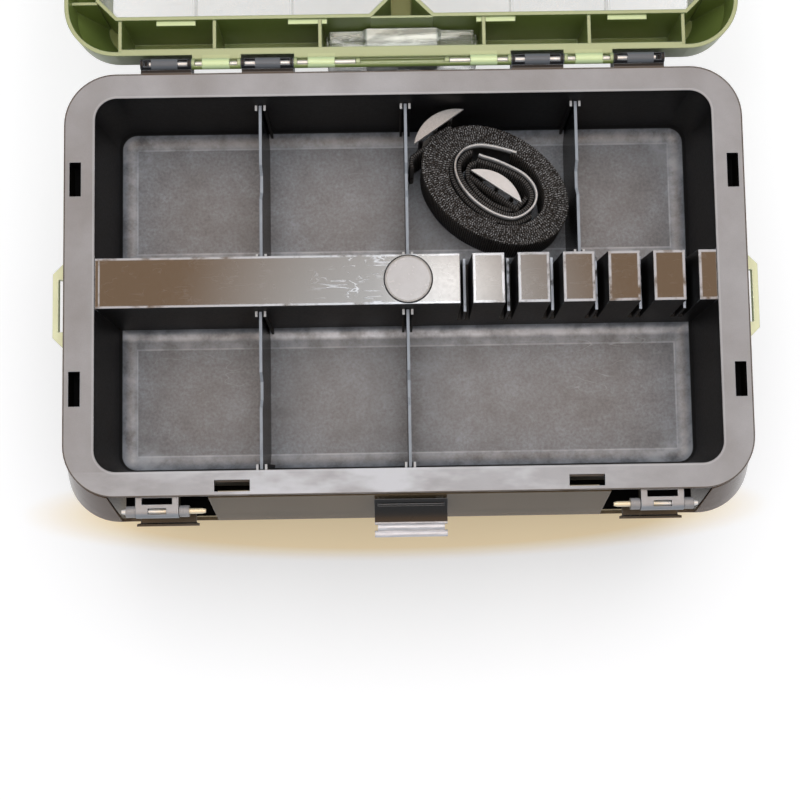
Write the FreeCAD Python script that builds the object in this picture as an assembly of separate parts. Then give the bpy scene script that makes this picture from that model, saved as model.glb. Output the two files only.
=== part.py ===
import FreeCAD, Part
import math
import os

# Fishing tackle cabinet, millimetres. X runs to the right, Y to the rear, Z up.
# Origin: centre of the base underside, on the floor. Rest pose: lid laid open
# half a turn to the rear, lid latches hanging, front door shut.
V = FreeCAD.Vector
EPS = 0.5                    # overlap used where two solids are joined or cut

# Overall outline
RIM_W, RIM_D = 500.0, 312.0  # outer size of the top rim
RIM_R = 38.0                 # outer corner radius of the rim
RIM_Z = 270.0                # height of the rim's top face
RIM_T = 4.0                  # thickness of the rim flange
RIM_SIDE, RIM_END = 22.7, 18.3  # breadth of the rim at the sides and at front and rear
BIN_W, BIN_D = RIM_W - 2 * RIM_SIDE, RIM_D - 2 * RIM_END  # opening inside the rim
BIN_R = 16.0                 # corner radius of the opening
BIN_DEPTH = 87.0             # rim top to bin floor
BIN_TAPER = 3.0              # how far the walls lean in from rim to floor
BIN_FILLET = 12.0            # radius between bin wall and floor
WALL = 2.5                   # wall of the bin and of its beam
SKIRT_H, SKIRT_T = 8.0, 2.5  # stiffening lip under the sides and rear of the rim
SKIRT_FRONT_Y = 44.0 - RIM_D / 2  # the lip stops here so that the door's ends pass

# Beam and comb across the bin
BEAM_TOP_HALF = 18.5
BEAM_LEAN = 4.6              # how much wider each side is at the floor
BEAM_DROP = 1.6              # beam top below rim top
BEAM_FILLET = 8.0
COMB_X0 = 39.4               # where the closed part of the beam ends
COMB_PITCH = 33.1
COMB_BLOCK = 23.2
COMB_FIRST_BLOCK_X = 48.8
COMB_GAP_COUNT = 6
COMB_GAP_DEPTH = 62.0
COMB_WEB_T = 2.0
COMB_WEB_DEPTH = 31.0
PLUG_X, PLUG_R = 1.5, 17.2
PLUG_T = 2.4
PLUG_SINK = 1.6              # how far the plug's flange is let into the beam
PLUG_SKIRT_R = 14.0
PLUG_SKIRT_H = 7.0

# Dividers
DIV_T = 2.2
DIV_DROP = 18.0              # divider top below rim top
DIV_SIDE_GAP = 0.5
DIV_FLOOR_GAP = 0.2
DIV_NOTCH_W, DIV_NOTCH_H = 26.0, 7.0
REAR_DIV_X = (-107.4, 1.6, 129.6)
FRONT_DIV_X = (-108.2, 1.0)
GUIDE_T = 1.8
GUIDE_OUT = 4.2
GUIDE_OFFSET = 3.2           # centre of each guide rib from the divider's middle
GUIDE_DROP = 19.0

# Slots in the rim
SIDE_SLOT_X, SIDE_SLOT_Y = RIM_W / 2 - 8.4, 77.3
SIDE_SLOT_W, SIDE_SLOT_L = 8.4, 25.4
FRONT_SLOT_X, FRONT_SLOT_Y = 127.8, 7.3 - RIM_D / 2
FRONT_SLOT_W, FRONT_SLOT_L = 8.2, 25.6

# Lid hinge
HINGE_Y = RIM_D / 2 + 7.0    # axis height is the rim's top face
HINGE_R = 4.0
ROD_R = 1.6
ROD_FIT = 0.05               # radial play of every pin in its bore
TROUGH_HALF = 2.4            # half width of the open troughs over the hinge rod
LUG_SPANS = ((80.7, 119.1, 90.4, 108.8), (156.2, 193.6, 166.2, 185.5))
LEAF_SPANS = ((119.5, 155.8, 127.7, 148.0),)
LONG_LEAF_X = 80.3
LONG_BRIDGE = (50.0, 70.0)
ROD_NUB = (31.2, 34.6)
ROD_X0, ROD_X1 = 35.0, 187.4
LUG_ROOT_Y = RIM_D / 2 - 3.0
STOP_Y = HINGE_Y + 6.7       # rear end of the toe the open lid comes to rest on
STOP_Z0, STOP_Z1 = 14.0, 3.0
LID_GAP = 0.2                # lid edge to rim when shut

# Lid, given in its shut position
LID_HALF_W = RIM_W / 2 + 0.5
LID_Y0, LID_Y1 = -RIM_D / 2 - 1.0, RIM_D / 2
LID_R = 38.0
LID_SHOULDER_Z, LID_SHOULDER_IN = 24.0, 1.5
LID_TOP_Z, LID_TOP_IN, LID_TOP_R = 62.2, 18.0, 24.0
LID_WALL = 3.0
LID_BAND_T = 1.8             # extra thickness of the edge on the hinge side
LID_BAND_H = 6.0
LID_BAND_X = LID_HALF_W - 42.5
BAY_X0, BAY_X1 = 8.0, LID_HALF_W - 21.5  # each window bay, mirrored left and right
BAY_Y0, BAY_Y1 = -2.0, LID_Y1 - 30.0
BAY_CUT = 15.0               # corner cut of the eight-sided bay
BAY_WALL = 1.8
BAY_LEDGE = 0.9
BAY_LEDGE_T = 1.6
BAY_FREE_Z = 8.0             # lower edge of the bay's frame above the rim
BAY_GAP = 0.4
TRAY_T = 1.6
TRAY_H = 24.0
TRAY_RIB_T, TRAY_RIB_H = 1.2, 19.2
TRAY_RIB_X_SHARES = (0.34, 0.67)
TAB_X = (70.7, 169.3)
TAB_W, TAB_OUT, TAB_T = 29.4, 3.6, 4.0
TAB_Z = 10.5
LID_RIB_X = (61.4, 140.4, 211.0)
LID_RIB_T = 2.6
LID_RIB_Z = 9.5
SIDE_RIB_Y = (14.0, 112.0)
SIDE_RIB_T = 2.2
FRONT_RIB_Z = 15.0
KEEPER_HALF = 20.0
KEEPER_OUT = RIM_D / 2 + 7.0
KEEPER_Z0, KEEPER_Z1, KEEPER_LIP = 13.0, 32.0, 3.5
KEEPER_RIB_T, KEEPER_GROOVE = 4.0, 1.6
RECESS_X, RECESS_Y0, RECESS_Y1 = 120.0, -86.0, -8.0
RECESS_DEPTH = 18.0

# Windows in the lid's top
WINDOW_T = 2.6
WINDOW_AXIS_Y, WINDOW_AXIS_UP = BAY_Y1 + 4.0, 2.9
BARREL_R = 2.5
WINDOW_PIN_R = 1.0
WINDOW_LUG_T = 4.0
WINDOW_SIDE_GAP = 0.4
WINDOW_LUG_FRONT, WINDOW_LUG_REAR = 3.4, 3.2
WINDOW_ARM_IN = 12.0
WINDOW_TAB_HALF, WINDOW_TAB_OUT = 15.0, 6.4

# Carry handle
HANDLE_AXIS_Y = -19.0
HANDLE_AXIS_DOWN = 8.0
HANDLE_ARM_X = 108.0
HANDLE_ARM_W = 10.0
HANDLE_REACH = 52.0
HANDLE_H = 12.0
HANDLE_GRIP_W = 16.0
HANDLE_PIN_R = 3.0
HANDLE_BEND_R = 14.0
HANDLE_EDGE_R = 3.8
HANDLE_PIN_X0, HANDLE_PIN_X1 = 104.0, 122.3

# Case under the bin
CASE_HALF_W = RIM_W / 2 - 14.0
CASE_Y0, CASE_Y1 = 10.0 - RIM_D / 2, RIM_D / 2 - 8.0
CASE_R = 26.0
CASE_Z0 = 10.0
CASE_WALL = 3.0
BAY_OPEN_X, BAY_OPEN_Z0, BAY_OPEN_Z1, BAY_OPEN_R = 212.0, 22.0, 172.0, 10.0
BASE_IN, BASE_W = 6.0, 12.0
BASE_RIB_W = 14.0
BASE_CROSS_X = (-150.0, 150.0)
JAMB_X, JAMB_Y0, JAMB_Y1 = RIM_W / 2 - 5.0, -120.0, -116.5
JAMB_Z0, JAMB_DROP = 16.0, 22.0
BOX_W, BOX_D, BOX_H = 418.0, 228.0, 40.0
BOX_Y0 = CASE_Y0 + 9.0
BOX_Z0, BOX_PITCH, BOX_COUNT = 27.0, 48.0, 3
BOX_WALL = 1.8
BOX_R = 10.0
BOX_LID_T, BOX_LID_LIP, BOX_LID_OUT = 2.0, 4.0, 1.2
BOX_LID_GAP = 0.2
BOX_LATCH_X, BOX_LATCH_W, BOX_LATCH_H = 130.0, 34.0, 14.0
BOX_LATCH_T = 2.0
LEDGE_IN, LEDGE_T, LEDGE_Y0 = 200.0, 3.0, -118.0
LEDGE_STOP_T, LEDGE_STOP_H = 3.0, 10.0

# Strap loops on the sides
LOOP_Y0, LOOP_Y1 = -45.6, 22.6
LOOP_X1 = RIM_W / 2 + 15.0
LOOP_Z, LOOP_T = 240.5, 5.0
LOOP_CUT = 10.0
LOOP_BAR = 4.4
LOOP_SLOT_Y0, LOOP_SLOT_Y1 = -31.2, 8.2
LOOP_SLOT_IN = RIM_W / 2 - 4.0
LOOP_BASE_T, LOOP_BASE_H = 3.6, 30.0
LOOP_GUSSET = 16.0
LOOP_GUSSET_T = 4.0

# Front door
DOOR_T = 2.6
DOOR_TOP_DROP, DOOR_TOP_HALF, DOOR_TOP_Y, DOOR_TOP_R = 5.0, RIM_W / 2 - 0.6, -RIM_D / 2 - 1.0, 38.0
DOOR_MID_DROP, DOOR_MID_HALF, DOOR_MID_Y, DOOR_MID_R = 64.0, RIM_W / 2 + 11.0, -RIM_D / 2 - 17.2, 41.0
DOOR_LOW_Z, DOOR_LOW_HALF, DOOR_LOW_Y, DOOR_LOW_R = 15.0, RIM_W / 2 + 6.0, -RIM_D / 2 - 12.4, 40.0
DOOR_END_Y = 32.0 - RIM_D / 2
DOOR_END_DROP = 5.0          # the top edge falls this much towards the door's ends
DOOR_AXIS_Y, DOOR_AXIS_Z = -RIM_D / 2 - 2.0, 26.0
DOOR_PIN_R = 2.0
DOOR_KNUCKLE_R = 4.4
DOOR_LUG_R = 5.0
DOOR_KNUCKLE_X0, DOOR_KNUCKLE_X1 = RIM_W / 2 - 30.0, RIM_W / 2 - 22.0
DOOR_LUG_T = 7.0
DOOR_SIDE_GAP = 0.5
DOOR_LUG_LOW = 21.0
DOOR_LUG_ROOT = 8.0          # how far the lug's web reaches behind the case's front
NOTCH_X0, NOTCH_X1 = 145.7, 219.0
NOTCH_DROP = 72.0
NOTCH_R = 8.0

# Pull on the door
PULL_X0, PULL_X1 = -25.8, 27.4
PULL_WALL = 2.4
PULL_AXIS_Y, PULL_AXIS_DROP = -RIM_D / 2 - 17.0, 42.0
PULL_PIN_R = 1.5
PULL_HUB_R = 3.4
PULL_TOP_Y, PULL_TOP_DROP = -RIM_D / 2 - 4.0, 7.5
PULL_DISH_Y, PULL_DISH_DROP = -RIM_D / 2 - 22.0, 18.6
PULL_DISH_SAG = 3.2
BAR1_Y, BAR1_DROP, BAR1_R = -RIM_D / 2 - 24.2, 17.2, 2.3
BAR2_Y, BAR2_DROP, BAR2_R = -RIM_D / 2 - 29.2, 20.4, 2.5
BAR1_SHORT = 2.2             # bar 1 is this much shorter at each end
PULL_THROAT_Y, PULL_THROAT_DROP = -RIM_D / 2 - 22.6, 27.0
PULL_EAR_T = 3.4
PULL_EAR_R = 3.2
PULL_EAR_ROOM = 0.5         # space that the pull leaves round each ear of the door

# Lid latches
LATCH_X = 182.3
LATCH_AXIS_Y, LATCH_AXIS_DROP = -RIM_D / 2 - 10.3, 8.2
LATCH_ROD_R = 2.0
LATCH_ROD_X0, LATCH_ROD_X1 = -26.2, 34.6      # from the latch's middle, outboard negative
LATCH_TIP_R, LATCH_TIP_L = 1.4, 2.5
BRACKET_HALF = 15.5
BRACKET_FOOT = 6.0           # how far the bracket reaches in under the rim
BRACKET_NOSE_R = 4.9
BRACKET_WINDOW_HALF = 11.0
BRACKET_WINDOW_Y0, BRACKET_WINDOW_Y1 = -RIM_D / 2 - 5.4, -RIM_D / 2 - 0.6
BRACKET_SLOT_HALF, BRACKET_SLOT_W = 6.6, 4.4
LEVER_X0, LEVER_X1 = -22.8, 24.4
LEVER_BARREL_R = 4.2
LEVER_BARREL_L = 7.0
LEVER_BARREL_GAP = 0.3       # between each barrel and the bracket
LEVER_T = 3.6
LEVER_IN_R = 5.3
LEVER_LEN = 46.0
LEVER_HOOK_OUT, LEVER_HOOK_T = 8.9, 4.0
LEVER_LIP = 2.6              # how far the lip along the hook reaches down behind the keeper's rib
LEVER_CUT = 7.0
LEVER_DISH_HALF, LEVER_DISH_R = 9.0, 40.0

# Strap coil, pad strip and buckles
COIL_X, COIL_Y = 70.0, 78.7
COIL_A, COIL_B = 61.0, 41.6  # outer half axes
COIL_TILT = -32.0            # degrees, long axis from rear left to front right
COIL_PITCH = (2.85, 1.88)    # wound looser along the long axis than across it
COIL_TURNS = 9
COIL_BAND = 1.35             # thickness of the webbing
COIL_H = 50.0
COIL_START = 150.0           # degrees, where the outer end lies
STRIP_A, STRIP_B = 32.6, 22.2
STRIP_TILT = -32.0
STRIP_T = 1.7
STRIP_TURNS = 1.14
STRIP_INWARD = (6.0, 6.0)    # how far one turn winds inwards
STRIP_START = 62.0
STRIP_H, STRIP_Z_GAP = 50.5, 0.4
BUCKLE_CHORD = 46.0
BUCKLE_SAG = 9.6
BUCKLE_T = 3.0
BUCKLE_H = 56.0
BUCKLE_BAR_R = 1.7
BUCKLE_BAR_SHARES = (0.2, 0.5, 0.8)
BUCKLE_BAR_IN = 3.6
OUT_BUCKLE_X, OUT_BUCKLE_Y, OUT_BUCKLE_ANGLE = 26.9, 120.3, 34.6
OUT_BUCKLE_LIFT = 7.0
IN_BUCKLE_X, IN_BUCKLE_Y, IN_BUCKLE_ANGLE = 69.6, 75.4, -34.3
IN_BUCKLE_LIFT = 0.4
BIARC_STEP = 90.0            # degrees turned by each pair of arcs
POINTS_PER_ARC = 24          # points on each arc when the least gap is measured
PARALLEL = 1e-9              # two directions closer than this count as the same

FLOOR_Z = RIM_Z - BIN_DEPTH
EXPORTED = []


def box(x0, x1, y0, y1, z0, z1):
    return Part.makeBox(x1 - x0, y1 - y0, z1 - z0, V(x0, y0, z0))


def rod_x(x0, x1, y, z, r):
    return Part.makeCylinder(r, x1 - x0, V(x0, y, z), V(1, 0, 0))


def mirror_x(shape):
    return shape.mirror(V(0, 0, 0), V(1, 0, 0))


def fuse(first, others):
    return first.multiFuse(others).removeSplitter()


def arc_mid(centre, r, degrees):
    a = math.radians(degrees)
    return V(centre.x + r * math.cos(a), centre.y + r * math.sin(a), centre.z)


def rounded_rect(x0, x1, y0, y1, r, z):
    """Closed wire with four straight sides and four quarter arcs, counter-clockwise."""
    edges = []
    corners = ((x1 - r, y0 + r, -90), (x1 - r, y1 - r, 0), (x0 + r, y1 - r, 90), (x0 + r, y0 + r, 180))
    for i, (cx, cy, start) in enumerate(corners):
        c = V(cx, cy, z)
        a, m, b = arc_mid(c, r, start), arc_mid(c, r, start + 45), arc_mid(c, r, start + 90)
        edges.append(Part.Arc(a, m, b).toShape())
        nx, ny, nstart = corners[(i + 1) % 4]
        edges.append(Part.makeLine(b, arc_mid(V(nx, ny, z), r, nstart)))
    return Part.Wire(edges)


def octagon(x0, x1, y0, y1, cut, z):
    """Closed wire of a rectangle with its four corners cut off straight."""
    pts = [V(x0 + cut, y0, z), V(x1 - cut, y0, z), V(x1, y0 + cut, z), V(x1, y1 - cut, z),
           V(x1 - cut, y1, z), V(x0 + cut, y1, z), V(x0, y1 - cut, z), V(x0, y0 + cut, z)]
    return Part.makePolygon(pts + pts[:1])


def prism(wire, height):
    return Part.Face(wire).extrude(V(0, 0, height))


def loft(wires):
    return Part.makeLoft(wires, True, True)


def plate_yz(points, x0, x1):
    """Solid cut from a sheet: a closed outline in Y and Z, running from x0 to x1."""
    pts = [V(x0, y, z) for y, z in points]
    return Part.Face(Part.makePolygon(pts + pts[:1])).extrude(V(x1 - x0, 0, 0))


def export(name, shape):
    shape = shape.removeSplitter()
    if shape.ShapeType != "Solid":
        solids = shape.Solids
        if len(solids) != 1:
            raise RuntimeError("%s came out as %d solids" % (name, len(solids)))
        shape = solids[0]
    if not shape.isValid():
        raise RuntimeError("%s isn't a valid solid" % name)
    shape.exportStep("parts/%s.step" % name)
    EXPORTED.append(name)
    print("%-22s %6d faces %10.1f mm3" % (name, len(shape.Faces), shape.Volume))
    return shape


# The bin

def wall_y(z, side):
    """Y of the bin's inner wall at height z; side is 1 at the rear, -1 at the front."""
    down = (RIM_Z - z) / BIN_DEPTH
    return side * (BIN_D / 2 - BIN_TAPER * down)


def beam_y(z, side):
    """Y of the beam's face at height z."""
    down = (RIM_Z - BEAM_DROP - z) / (BIN_DEPTH - BEAM_DROP)
    return side * (BEAM_TOP_HALF + BEAM_LEAN * down)


def bin_section(grow, z, taper):
    hw, hd = BIN_W / 2 - taper + grow, BIN_D / 2 - taper + grow
    return rounded_rect(-hw, hw, -hd, hd, BIN_R - taper + grow, z)


def bin_cavity():
    top = bin_section(0, RIM_Z, 0)
    low = bin_section(0, FLOOR_Z, BIN_TAPER)
    body = loft([top, low])
    edges = [e for e in body.Edges if e.BoundBox.ZMax < FLOOR_Z + EPS]
    body = body.makeFillet(BIN_FILLET, edges)
    return body.fuse(prism(bin_section(0, RIM_Z - EPS / 10, 0), RIM_T))


def bin_outside():
    body = loft([bin_section(WALL, RIM_Z - RIM_T / 2, 0), bin_section(WALL, FLOOR_Z - WALL, BIN_TAPER)])
    edges = [e for e in body.Edges if e.BoundBox.ZMax < FLOOR_Z - WALL + EPS]
    return body.makeFillet(BIN_FILLET, edges)


def beam_profile(shrink, z_low, foot):
    """Face across the beam; foot adds the curved feet that run into the bin's floor."""
    z_top = RIM_Z - BEAM_DROP - shrink
    y_top = BEAM_TOP_HALF - shrink
    y_low = beam_y(z_low, 1) - shrink
    pts = [V(0, -y_low, z_low), V(0, -y_top, z_top), V(0, y_top, z_top), V(0, y_low, z_low)]
    body = Part.Face(Part.makePolygon(pts + pts[:1]))
    if foot:
        for s in (-1, 1):
            y = s * beam_y(FLOOR_Z + BEAM_FILLET, 1)
            c = V(0, y + s * BEAM_FILLET, FLOOR_Z + BEAM_FILLET)
            knee = V(0, c.y - s * BEAM_FILLET * math.cos(math.pi / 4),
                     c.z - BEAM_FILLET * math.sin(math.pi / 4))
            a, b = V(0, y, c.z), V(0, c.y, FLOOR_Z)
            back = V(0, y - s * WALL, c.z)
            under = V(0, y - s * WALL, FLOOR_Z - EPS)
            out = V(0, c.y, FLOOR_Z - EPS)
            wire = Part.Wire([Part.Arc(a, knee, b).toShape(), Part.makeLine(b, out),
                              Part.makeLine(out, under), Part.makeLine(under, back),
                              Part.makeLine(back, a)])
            body = body.fuse(Part.Face(wire))
    return body


def comb_gaps():
    """Start and end of each gap between the comb's blocks."""
    spans = [(COMB_X0, COMB_FIRST_BLOCK_X)]
    for k in range(1, COMB_GAP_COUNT):
        start = COMB_FIRST_BLOCK_X + (k - 1) * COMB_PITCH + COMB_BLOCK
        spans.append((start, COMB_FIRST_BLOCK_X + k * COMB_PITCH))
    return spans


def run_x(face, x0, x1):
    moved = face.copy()
    moved.translate(V(x0, 0, 0))
    solids = [f.extrude(V(x1 - x0, 0, 0)) for f in moved.Faces]
    return solids[0] if len(solids) == 1 else solids[0].multiFuse(solids[1:])


def make_beam():
    half = BIN_W / 2 + WALL / 2
    beam = run_x(beam_profile(0, FLOOR_Z - EPS, True), -half, half)
    high = RIM_Z + EPS
    for x0, x1 in comb_gaps():
        beam = beam.cut(box(x0, x1, -RIM_D, RIM_D, RIM_Z - COMB_GAP_DEPTH, high))
    for x0, x1 in comb_gaps():
        mid = (x0 + x1) / 2
        z0, z1 = RIM_Z - COMB_GAP_DEPTH - WALL / 2, RIM_Z - COMB_WEB_DEPTH
        web = plate_yz([(beam_y(z0, -1), z0), (beam_y(z0, 1), z0), (beam_y(z1, 1), z1),
                        (beam_y(z1, -1), z1)], mid - COMB_WEB_T / 2, mid + COMB_WEB_T / 2)
        beam = beam.fuse(web)
    return beam


def beam_hollow():
    """Space under the beam, open to the underside of the bin."""
    low = FLOOR_Z - WALL - EPS
    inner = beam_profile(WALL, low, False)
    half = BIN_W / 2 - WALL
    parts = [run_x(inner, -half, COMB_X0 - WALL)]
    gaps = comb_gaps()
    for i, (x0, x1) in enumerate(gaps):
        end = gaps[i + 1][0] if i + 1 < len(gaps) else half + WALL
        if end - x1 > WALL * 3:
            parts.append(run_x(inner, x1 + WALL, min(end - WALL, half)))
    base = run_x(inner, -half, half)
    keep = box(-RIM_W, RIM_W, -RIM_D, RIM_D, low - EPS, RIM_Z - COMB_GAP_DEPTH - WALL)
    return parts + [base.common(keep)]


def guide_pair(x, side, on_wall):
    """Two upright ribs that hold one end of a divider."""
    face = wall_y if on_wall else beam_y
    z0, z1 = FLOOR_Z - EPS, RIM_Z - GUIDE_DROP
    inward = -side if on_wall else side
    ribs = []
    for s in (-1, 1):
        x0 = x + s * GUIDE_OFFSET - GUIDE_T / 2
        out = [(face(z, side) + inward * GUIDE_OUT, z) for z in (z0, z1)]
        back = [(face(z, side) - inward * WALL / 2, z) for z in (z1, z0)]
        ribs.append(plate_yz(out + back, x0, x0 + GUIDE_T))
    return ribs


def hinge_block(x0, x1, b0, b1, root_y, z0, z1, open_side):
    """Trough round the hinge rod, bridged between b0 and b1; open_side is 1 above, -1 below."""
    body = rod_x(x0, x1, HINGE_Y, RIM_Z, HINGE_R)
    y0, y1 = min(root_y, HINGE_Y), max(root_y, HINGE_Y)
    body = body.fuse(box(x0, x1, y0, y1, z0, z1))
    far = RIM_Z + open_side * HINGE_R * 2
    for a, b in ((x0 + WALL, b0), (b1, x1 - WALL)):
        body = body.cut(box(a, b, HINGE_Y - TROUGH_HALF, HINGE_Y + TROUGH_HALF,
                            min(RIM_Z, far), max(RIM_Z, far)))
    return body


def make_bracket(x):
    """Bracket under the rim that carries a latch rod, with a window and a slot above the rod."""
    z = RIM_Z - LATCH_AXIS_DROP
    y = LATCH_AXIS_Y
    x0, x1 = x - BRACKET_HALF, x + BRACKET_HALF
    body = rod_x(x0, x1, y, z, BRACKET_NOSE_R)
    body = body.fuse(box(x0, x1, y, -RIM_D / 2 + BRACKET_FOOT, z - BRACKET_NOSE_R, z + BRACKET_NOSE_R))
    body = body.cut(box(x0 - EPS, x1 + EPS, -RIM_D / 2, RIM_D / 2, RIM_Z - RIM_T, RIM_Z))
    body = body.cut(rod_x(x0 - EPS, x1 + EPS, y, z, LATCH_ROD_R + ROD_FIT))
    body = body.cut(box(x - BRACKET_WINDOW_HALF, x + BRACKET_WINDOW_HALF, BRACKET_WINDOW_Y0,
                        BRACKET_WINDOW_Y1, z - BRACKET_NOSE_R * 2, z + BRACKET_NOSE_R * 2))
    return body.cut(box(x - BRACKET_SLOT_HALF, x + BRACKET_SLOT_HALF, y - BRACKET_SLOT_W / 2,
                        y + BRACKET_SLOT_W / 2, z, z + BRACKET_NOSE_R * 2))


def make_bin():
    hw, hd = RIM_W / 2, RIM_D / 2
    rim = prism(rounded_rect(-hw, hw, -hd, hd, RIM_R, RIM_Z - RIM_T), RIM_T)
    skirt_z = RIM_Z - RIM_T - SKIRT_H
    skirt = prism(rounded_rect(-hw, hw, -hd, hd, RIM_R, skirt_z), SKIRT_H + RIM_T / 2)
    inner = prism(rounded_rect(-hw + SKIRT_T, hw - SKIRT_T, -hd + SKIRT_T, hd - SKIRT_T,
                               RIM_R - SKIRT_T, skirt_z - EPS), SKIRT_H + RIM_T)
    skirt = skirt.cut(inner)
    skirt = skirt.cut(box(-RIM_W, RIM_W, -RIM_D, SKIRT_FRONT_Y, skirt_z - EPS, RIM_Z - RIM_T))
    body = fuse(rim, [skirt, bin_outside()])
    body = body.cut(bin_cavity())
    adds = [make_beam()]
    for x in REAR_DIV_X:
        adds += guide_pair(x, 1, True) + guide_pair(x, 1, False)
    for x in FRONT_DIV_X:
        adds += guide_pair(x, -1, True) + guide_pair(x, -1, False)
    for x0, x1, b0, b1 in LUG_SPANS:
        lug = hinge_block(x0, x1, b0, b1, LUG_ROOT_Y, RIM_Z - RIM_T, RIM_Z, 1)
        toe = box(x0, x1, HINGE_Y, STOP_Y, RIM_Z - STOP_Z0, RIM_Z - STOP_Z1 - HINGE_R)
        web = box(x0, x1, LUG_ROOT_Y, HINGE_Y + EPS, RIM_Z - STOP_Z0, RIM_Z - RIM_T + EPS)
        lug = lug.multiFuse([toe, web])
        adds += [lug, mirror_x(lug)]
    body = fuse(body, adds)
    holes = beam_hollow()
    fit = ROD_R + ROD_FIT
    lug_in, lug_out = LUG_SPANS[0][0], LUG_SPANS[-1][1]
    for s in (-1, 1):
        rod = rod_x(lug_in - EPS, lug_out - WALL * 2, HINGE_Y, RIM_Z, fit)
        holes.append(rod if s > 0 else mirror_x(rod))
        for sy in (-1, 1):
            sx, y = s * SIDE_SLOT_X, sy * SIDE_SLOT_Y
            holes.append(box(sx - SIDE_SLOT_W / 2, sx + SIDE_SLOT_W / 2, y - SIDE_SLOT_L / 2,
                             y + SIDE_SLOT_L / 2, RIM_Z - RIM_T * 2, RIM_Z + EPS))
        sx = s * FRONT_SLOT_X
        holes.append(box(sx - FRONT_SLOT_L / 2, sx + FRONT_SLOT_L / 2,
                         FRONT_SLOT_Y - FRONT_SLOT_W / 2, FRONT_SLOT_Y + FRONT_SLOT_W / 2,
                         RIM_Z - RIM_T * 2, RIM_Z + EPS))
    top = RIM_Z - BEAM_DROP
    holes.append(Part.makeCylinder(PLUG_R + ROD_FIT, PLUG_SINK + EPS, V(PLUG_X, 0, top - PLUG_SINK)))
    holes.append(Part.makeCylinder(PLUG_SKIRT_R + ROD_FIT, WALL * 4, V(PLUG_X, 0, top - WALL * 3)))
    return body.cut(holes)


def make_plug():
    top = RIM_Z - BEAM_DROP
    flange = Part.makeCylinder(PLUG_R, PLUG_T, V(PLUG_X, 0, top - PLUG_SINK))
    skirt = Part.makeCylinder(PLUG_SKIRT_R, PLUG_SKIRT_H, V(PLUG_X, 0, top - PLUG_SINK - PLUG_SKIRT_H + EPS))
    bore = Part.makeCylinder(PLUG_SKIRT_R - WALL, PLUG_SKIRT_H, V(PLUG_X, 0, top - PLUG_SINK - PLUG_SKIRT_H))
    return flange.fuse(skirt.cut(bore))


def make_divider(x, side):
    """Plate that slides upright between two pairs of guide ribs."""
    z0, z1 = FLOOR_Z + DIV_FLOOR_GAP, RIM_Z - DIV_DROP
    cut_wall, cut_beam = BIN_FILLET + DIV_SIDE_GAP, BEAM_FILLET + DIV_SIDE_GAP
    g = DIV_SIDE_GAP
    mid = side * (BIN_D / 2 + BEAM_TOP_HALF) / 2
    pts = [(beam_y(z1, side) + side * g, z1),
           (mid - side * DIV_NOTCH_W / 2, z1), (mid - side * DIV_NOTCH_W / 4, z1 - DIV_NOTCH_H),
           (mid + side * DIV_NOTCH_W / 4, z1 - DIV_NOTCH_H), (mid + side * DIV_NOTCH_W / 2, z1),
           (wall_y(z1, side) - side * g, z1),
           (wall_y(z0 + cut_wall, side) - side * g, z0 + cut_wall),
           (wall_y(z0 + cut_wall, side) - side * (g + cut_wall), z0),
           (beam_y(z0 + cut_beam, side) + side * (g + cut_beam), z0),
           (beam_y(z0 + cut_beam, side) + side * g, z0 + cut_beam)]
    return plate_yz(pts, x - DIV_T / 2, x + DIV_T / 2)


# The case

def make_case():
    hw = CASE_HALF_W
    top = RIM_Z - RIM_T
    w = CASE_WALL
    body = prism(rounded_rect(-hw, hw, CASE_Y0, CASE_Y1, CASE_R, CASE_Z0), top - CASE_Z0)
    room = prism(rounded_rect(-hw + w, hw - w, CASE_Y0 + w, CASE_Y1 - w, CASE_R - w, CASE_Z0 + w),
                 top - CASE_Z0)
    body = body.cut(room)
    pts = rounded_rect(-BAY_OPEN_X, BAY_OPEN_X, BAY_OPEN_Z0, BAY_OPEN_Z1, BAY_OPEN_R, 0)
    opening = Part.Face(pts).extrude(V(0, 0, w * 4))
    opening.rotate(V(0, 0, 0), V(1, 0, 0), 90)
    opening.translate(V(0, CASE_Y0 + w * 2, 0))
    body = body.cut(opening)
    b = BASE_IN
    ring = prism(rounded_rect(-hw + b, hw - b, CASE_Y0 + b, CASE_Y1 - b, CASE_R - b, 0), CASE_Z0 + w / 2)
    b = BASE_IN + BASE_W
    ring = ring.cut(prism(rounded_rect(-hw + b, hw - b, CASE_Y0 + b, CASE_Y1 - b, CASE_R - b, -w),
                          CASE_Z0 + w))
    adds = [ring, box(-hw + b - EPS, hw - b + EPS, -BASE_RIB_W / 2, BASE_RIB_W / 2, 0, CASE_Z0 + w / 2)]
    for x in BASE_CROSS_X:
        adds.append(box(x - BASE_RIB_W / 2, x + BASE_RIB_W / 2, CASE_Y0 + b - EPS, CASE_Y1 - b + EPS,
                        0, CASE_Z0 + w / 2))
    for s in (-1, 1):
        x1 = DOOR_KNUCKLE_X0 - DOOR_SIDE_GAP
        x0 = x1 - DOOR_LUG_T
        side = [rod_x(x0, x1, DOOR_AXIS_Y, DOOR_AXIS_Z, DOOR_LUG_R),
                box(x0, x1, DOOR_AXIS_Y, CASE_Y0 + DOOR_LUG_ROOT, DOOR_LUG_LOW, DOOR_AXIS_Z + DOOR_LUG_R)]
        adds += side if s > 0 else [mirror_x(p) for p in side]
    body = fuse(body, adds)
    for s in (-1, 1):
        pin = rod_x(DOOR_KNUCKLE_X0 - DOOR_LUG_T - EPS * 3, DOOR_KNUCKLE_X1, DOOR_AXIS_Y, DOOR_AXIS_Z,
                    DOOR_PIN_R + ROD_FIT)
        body = body.cut(pin if s > 0 else mirror_x(pin))
    return body


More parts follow.
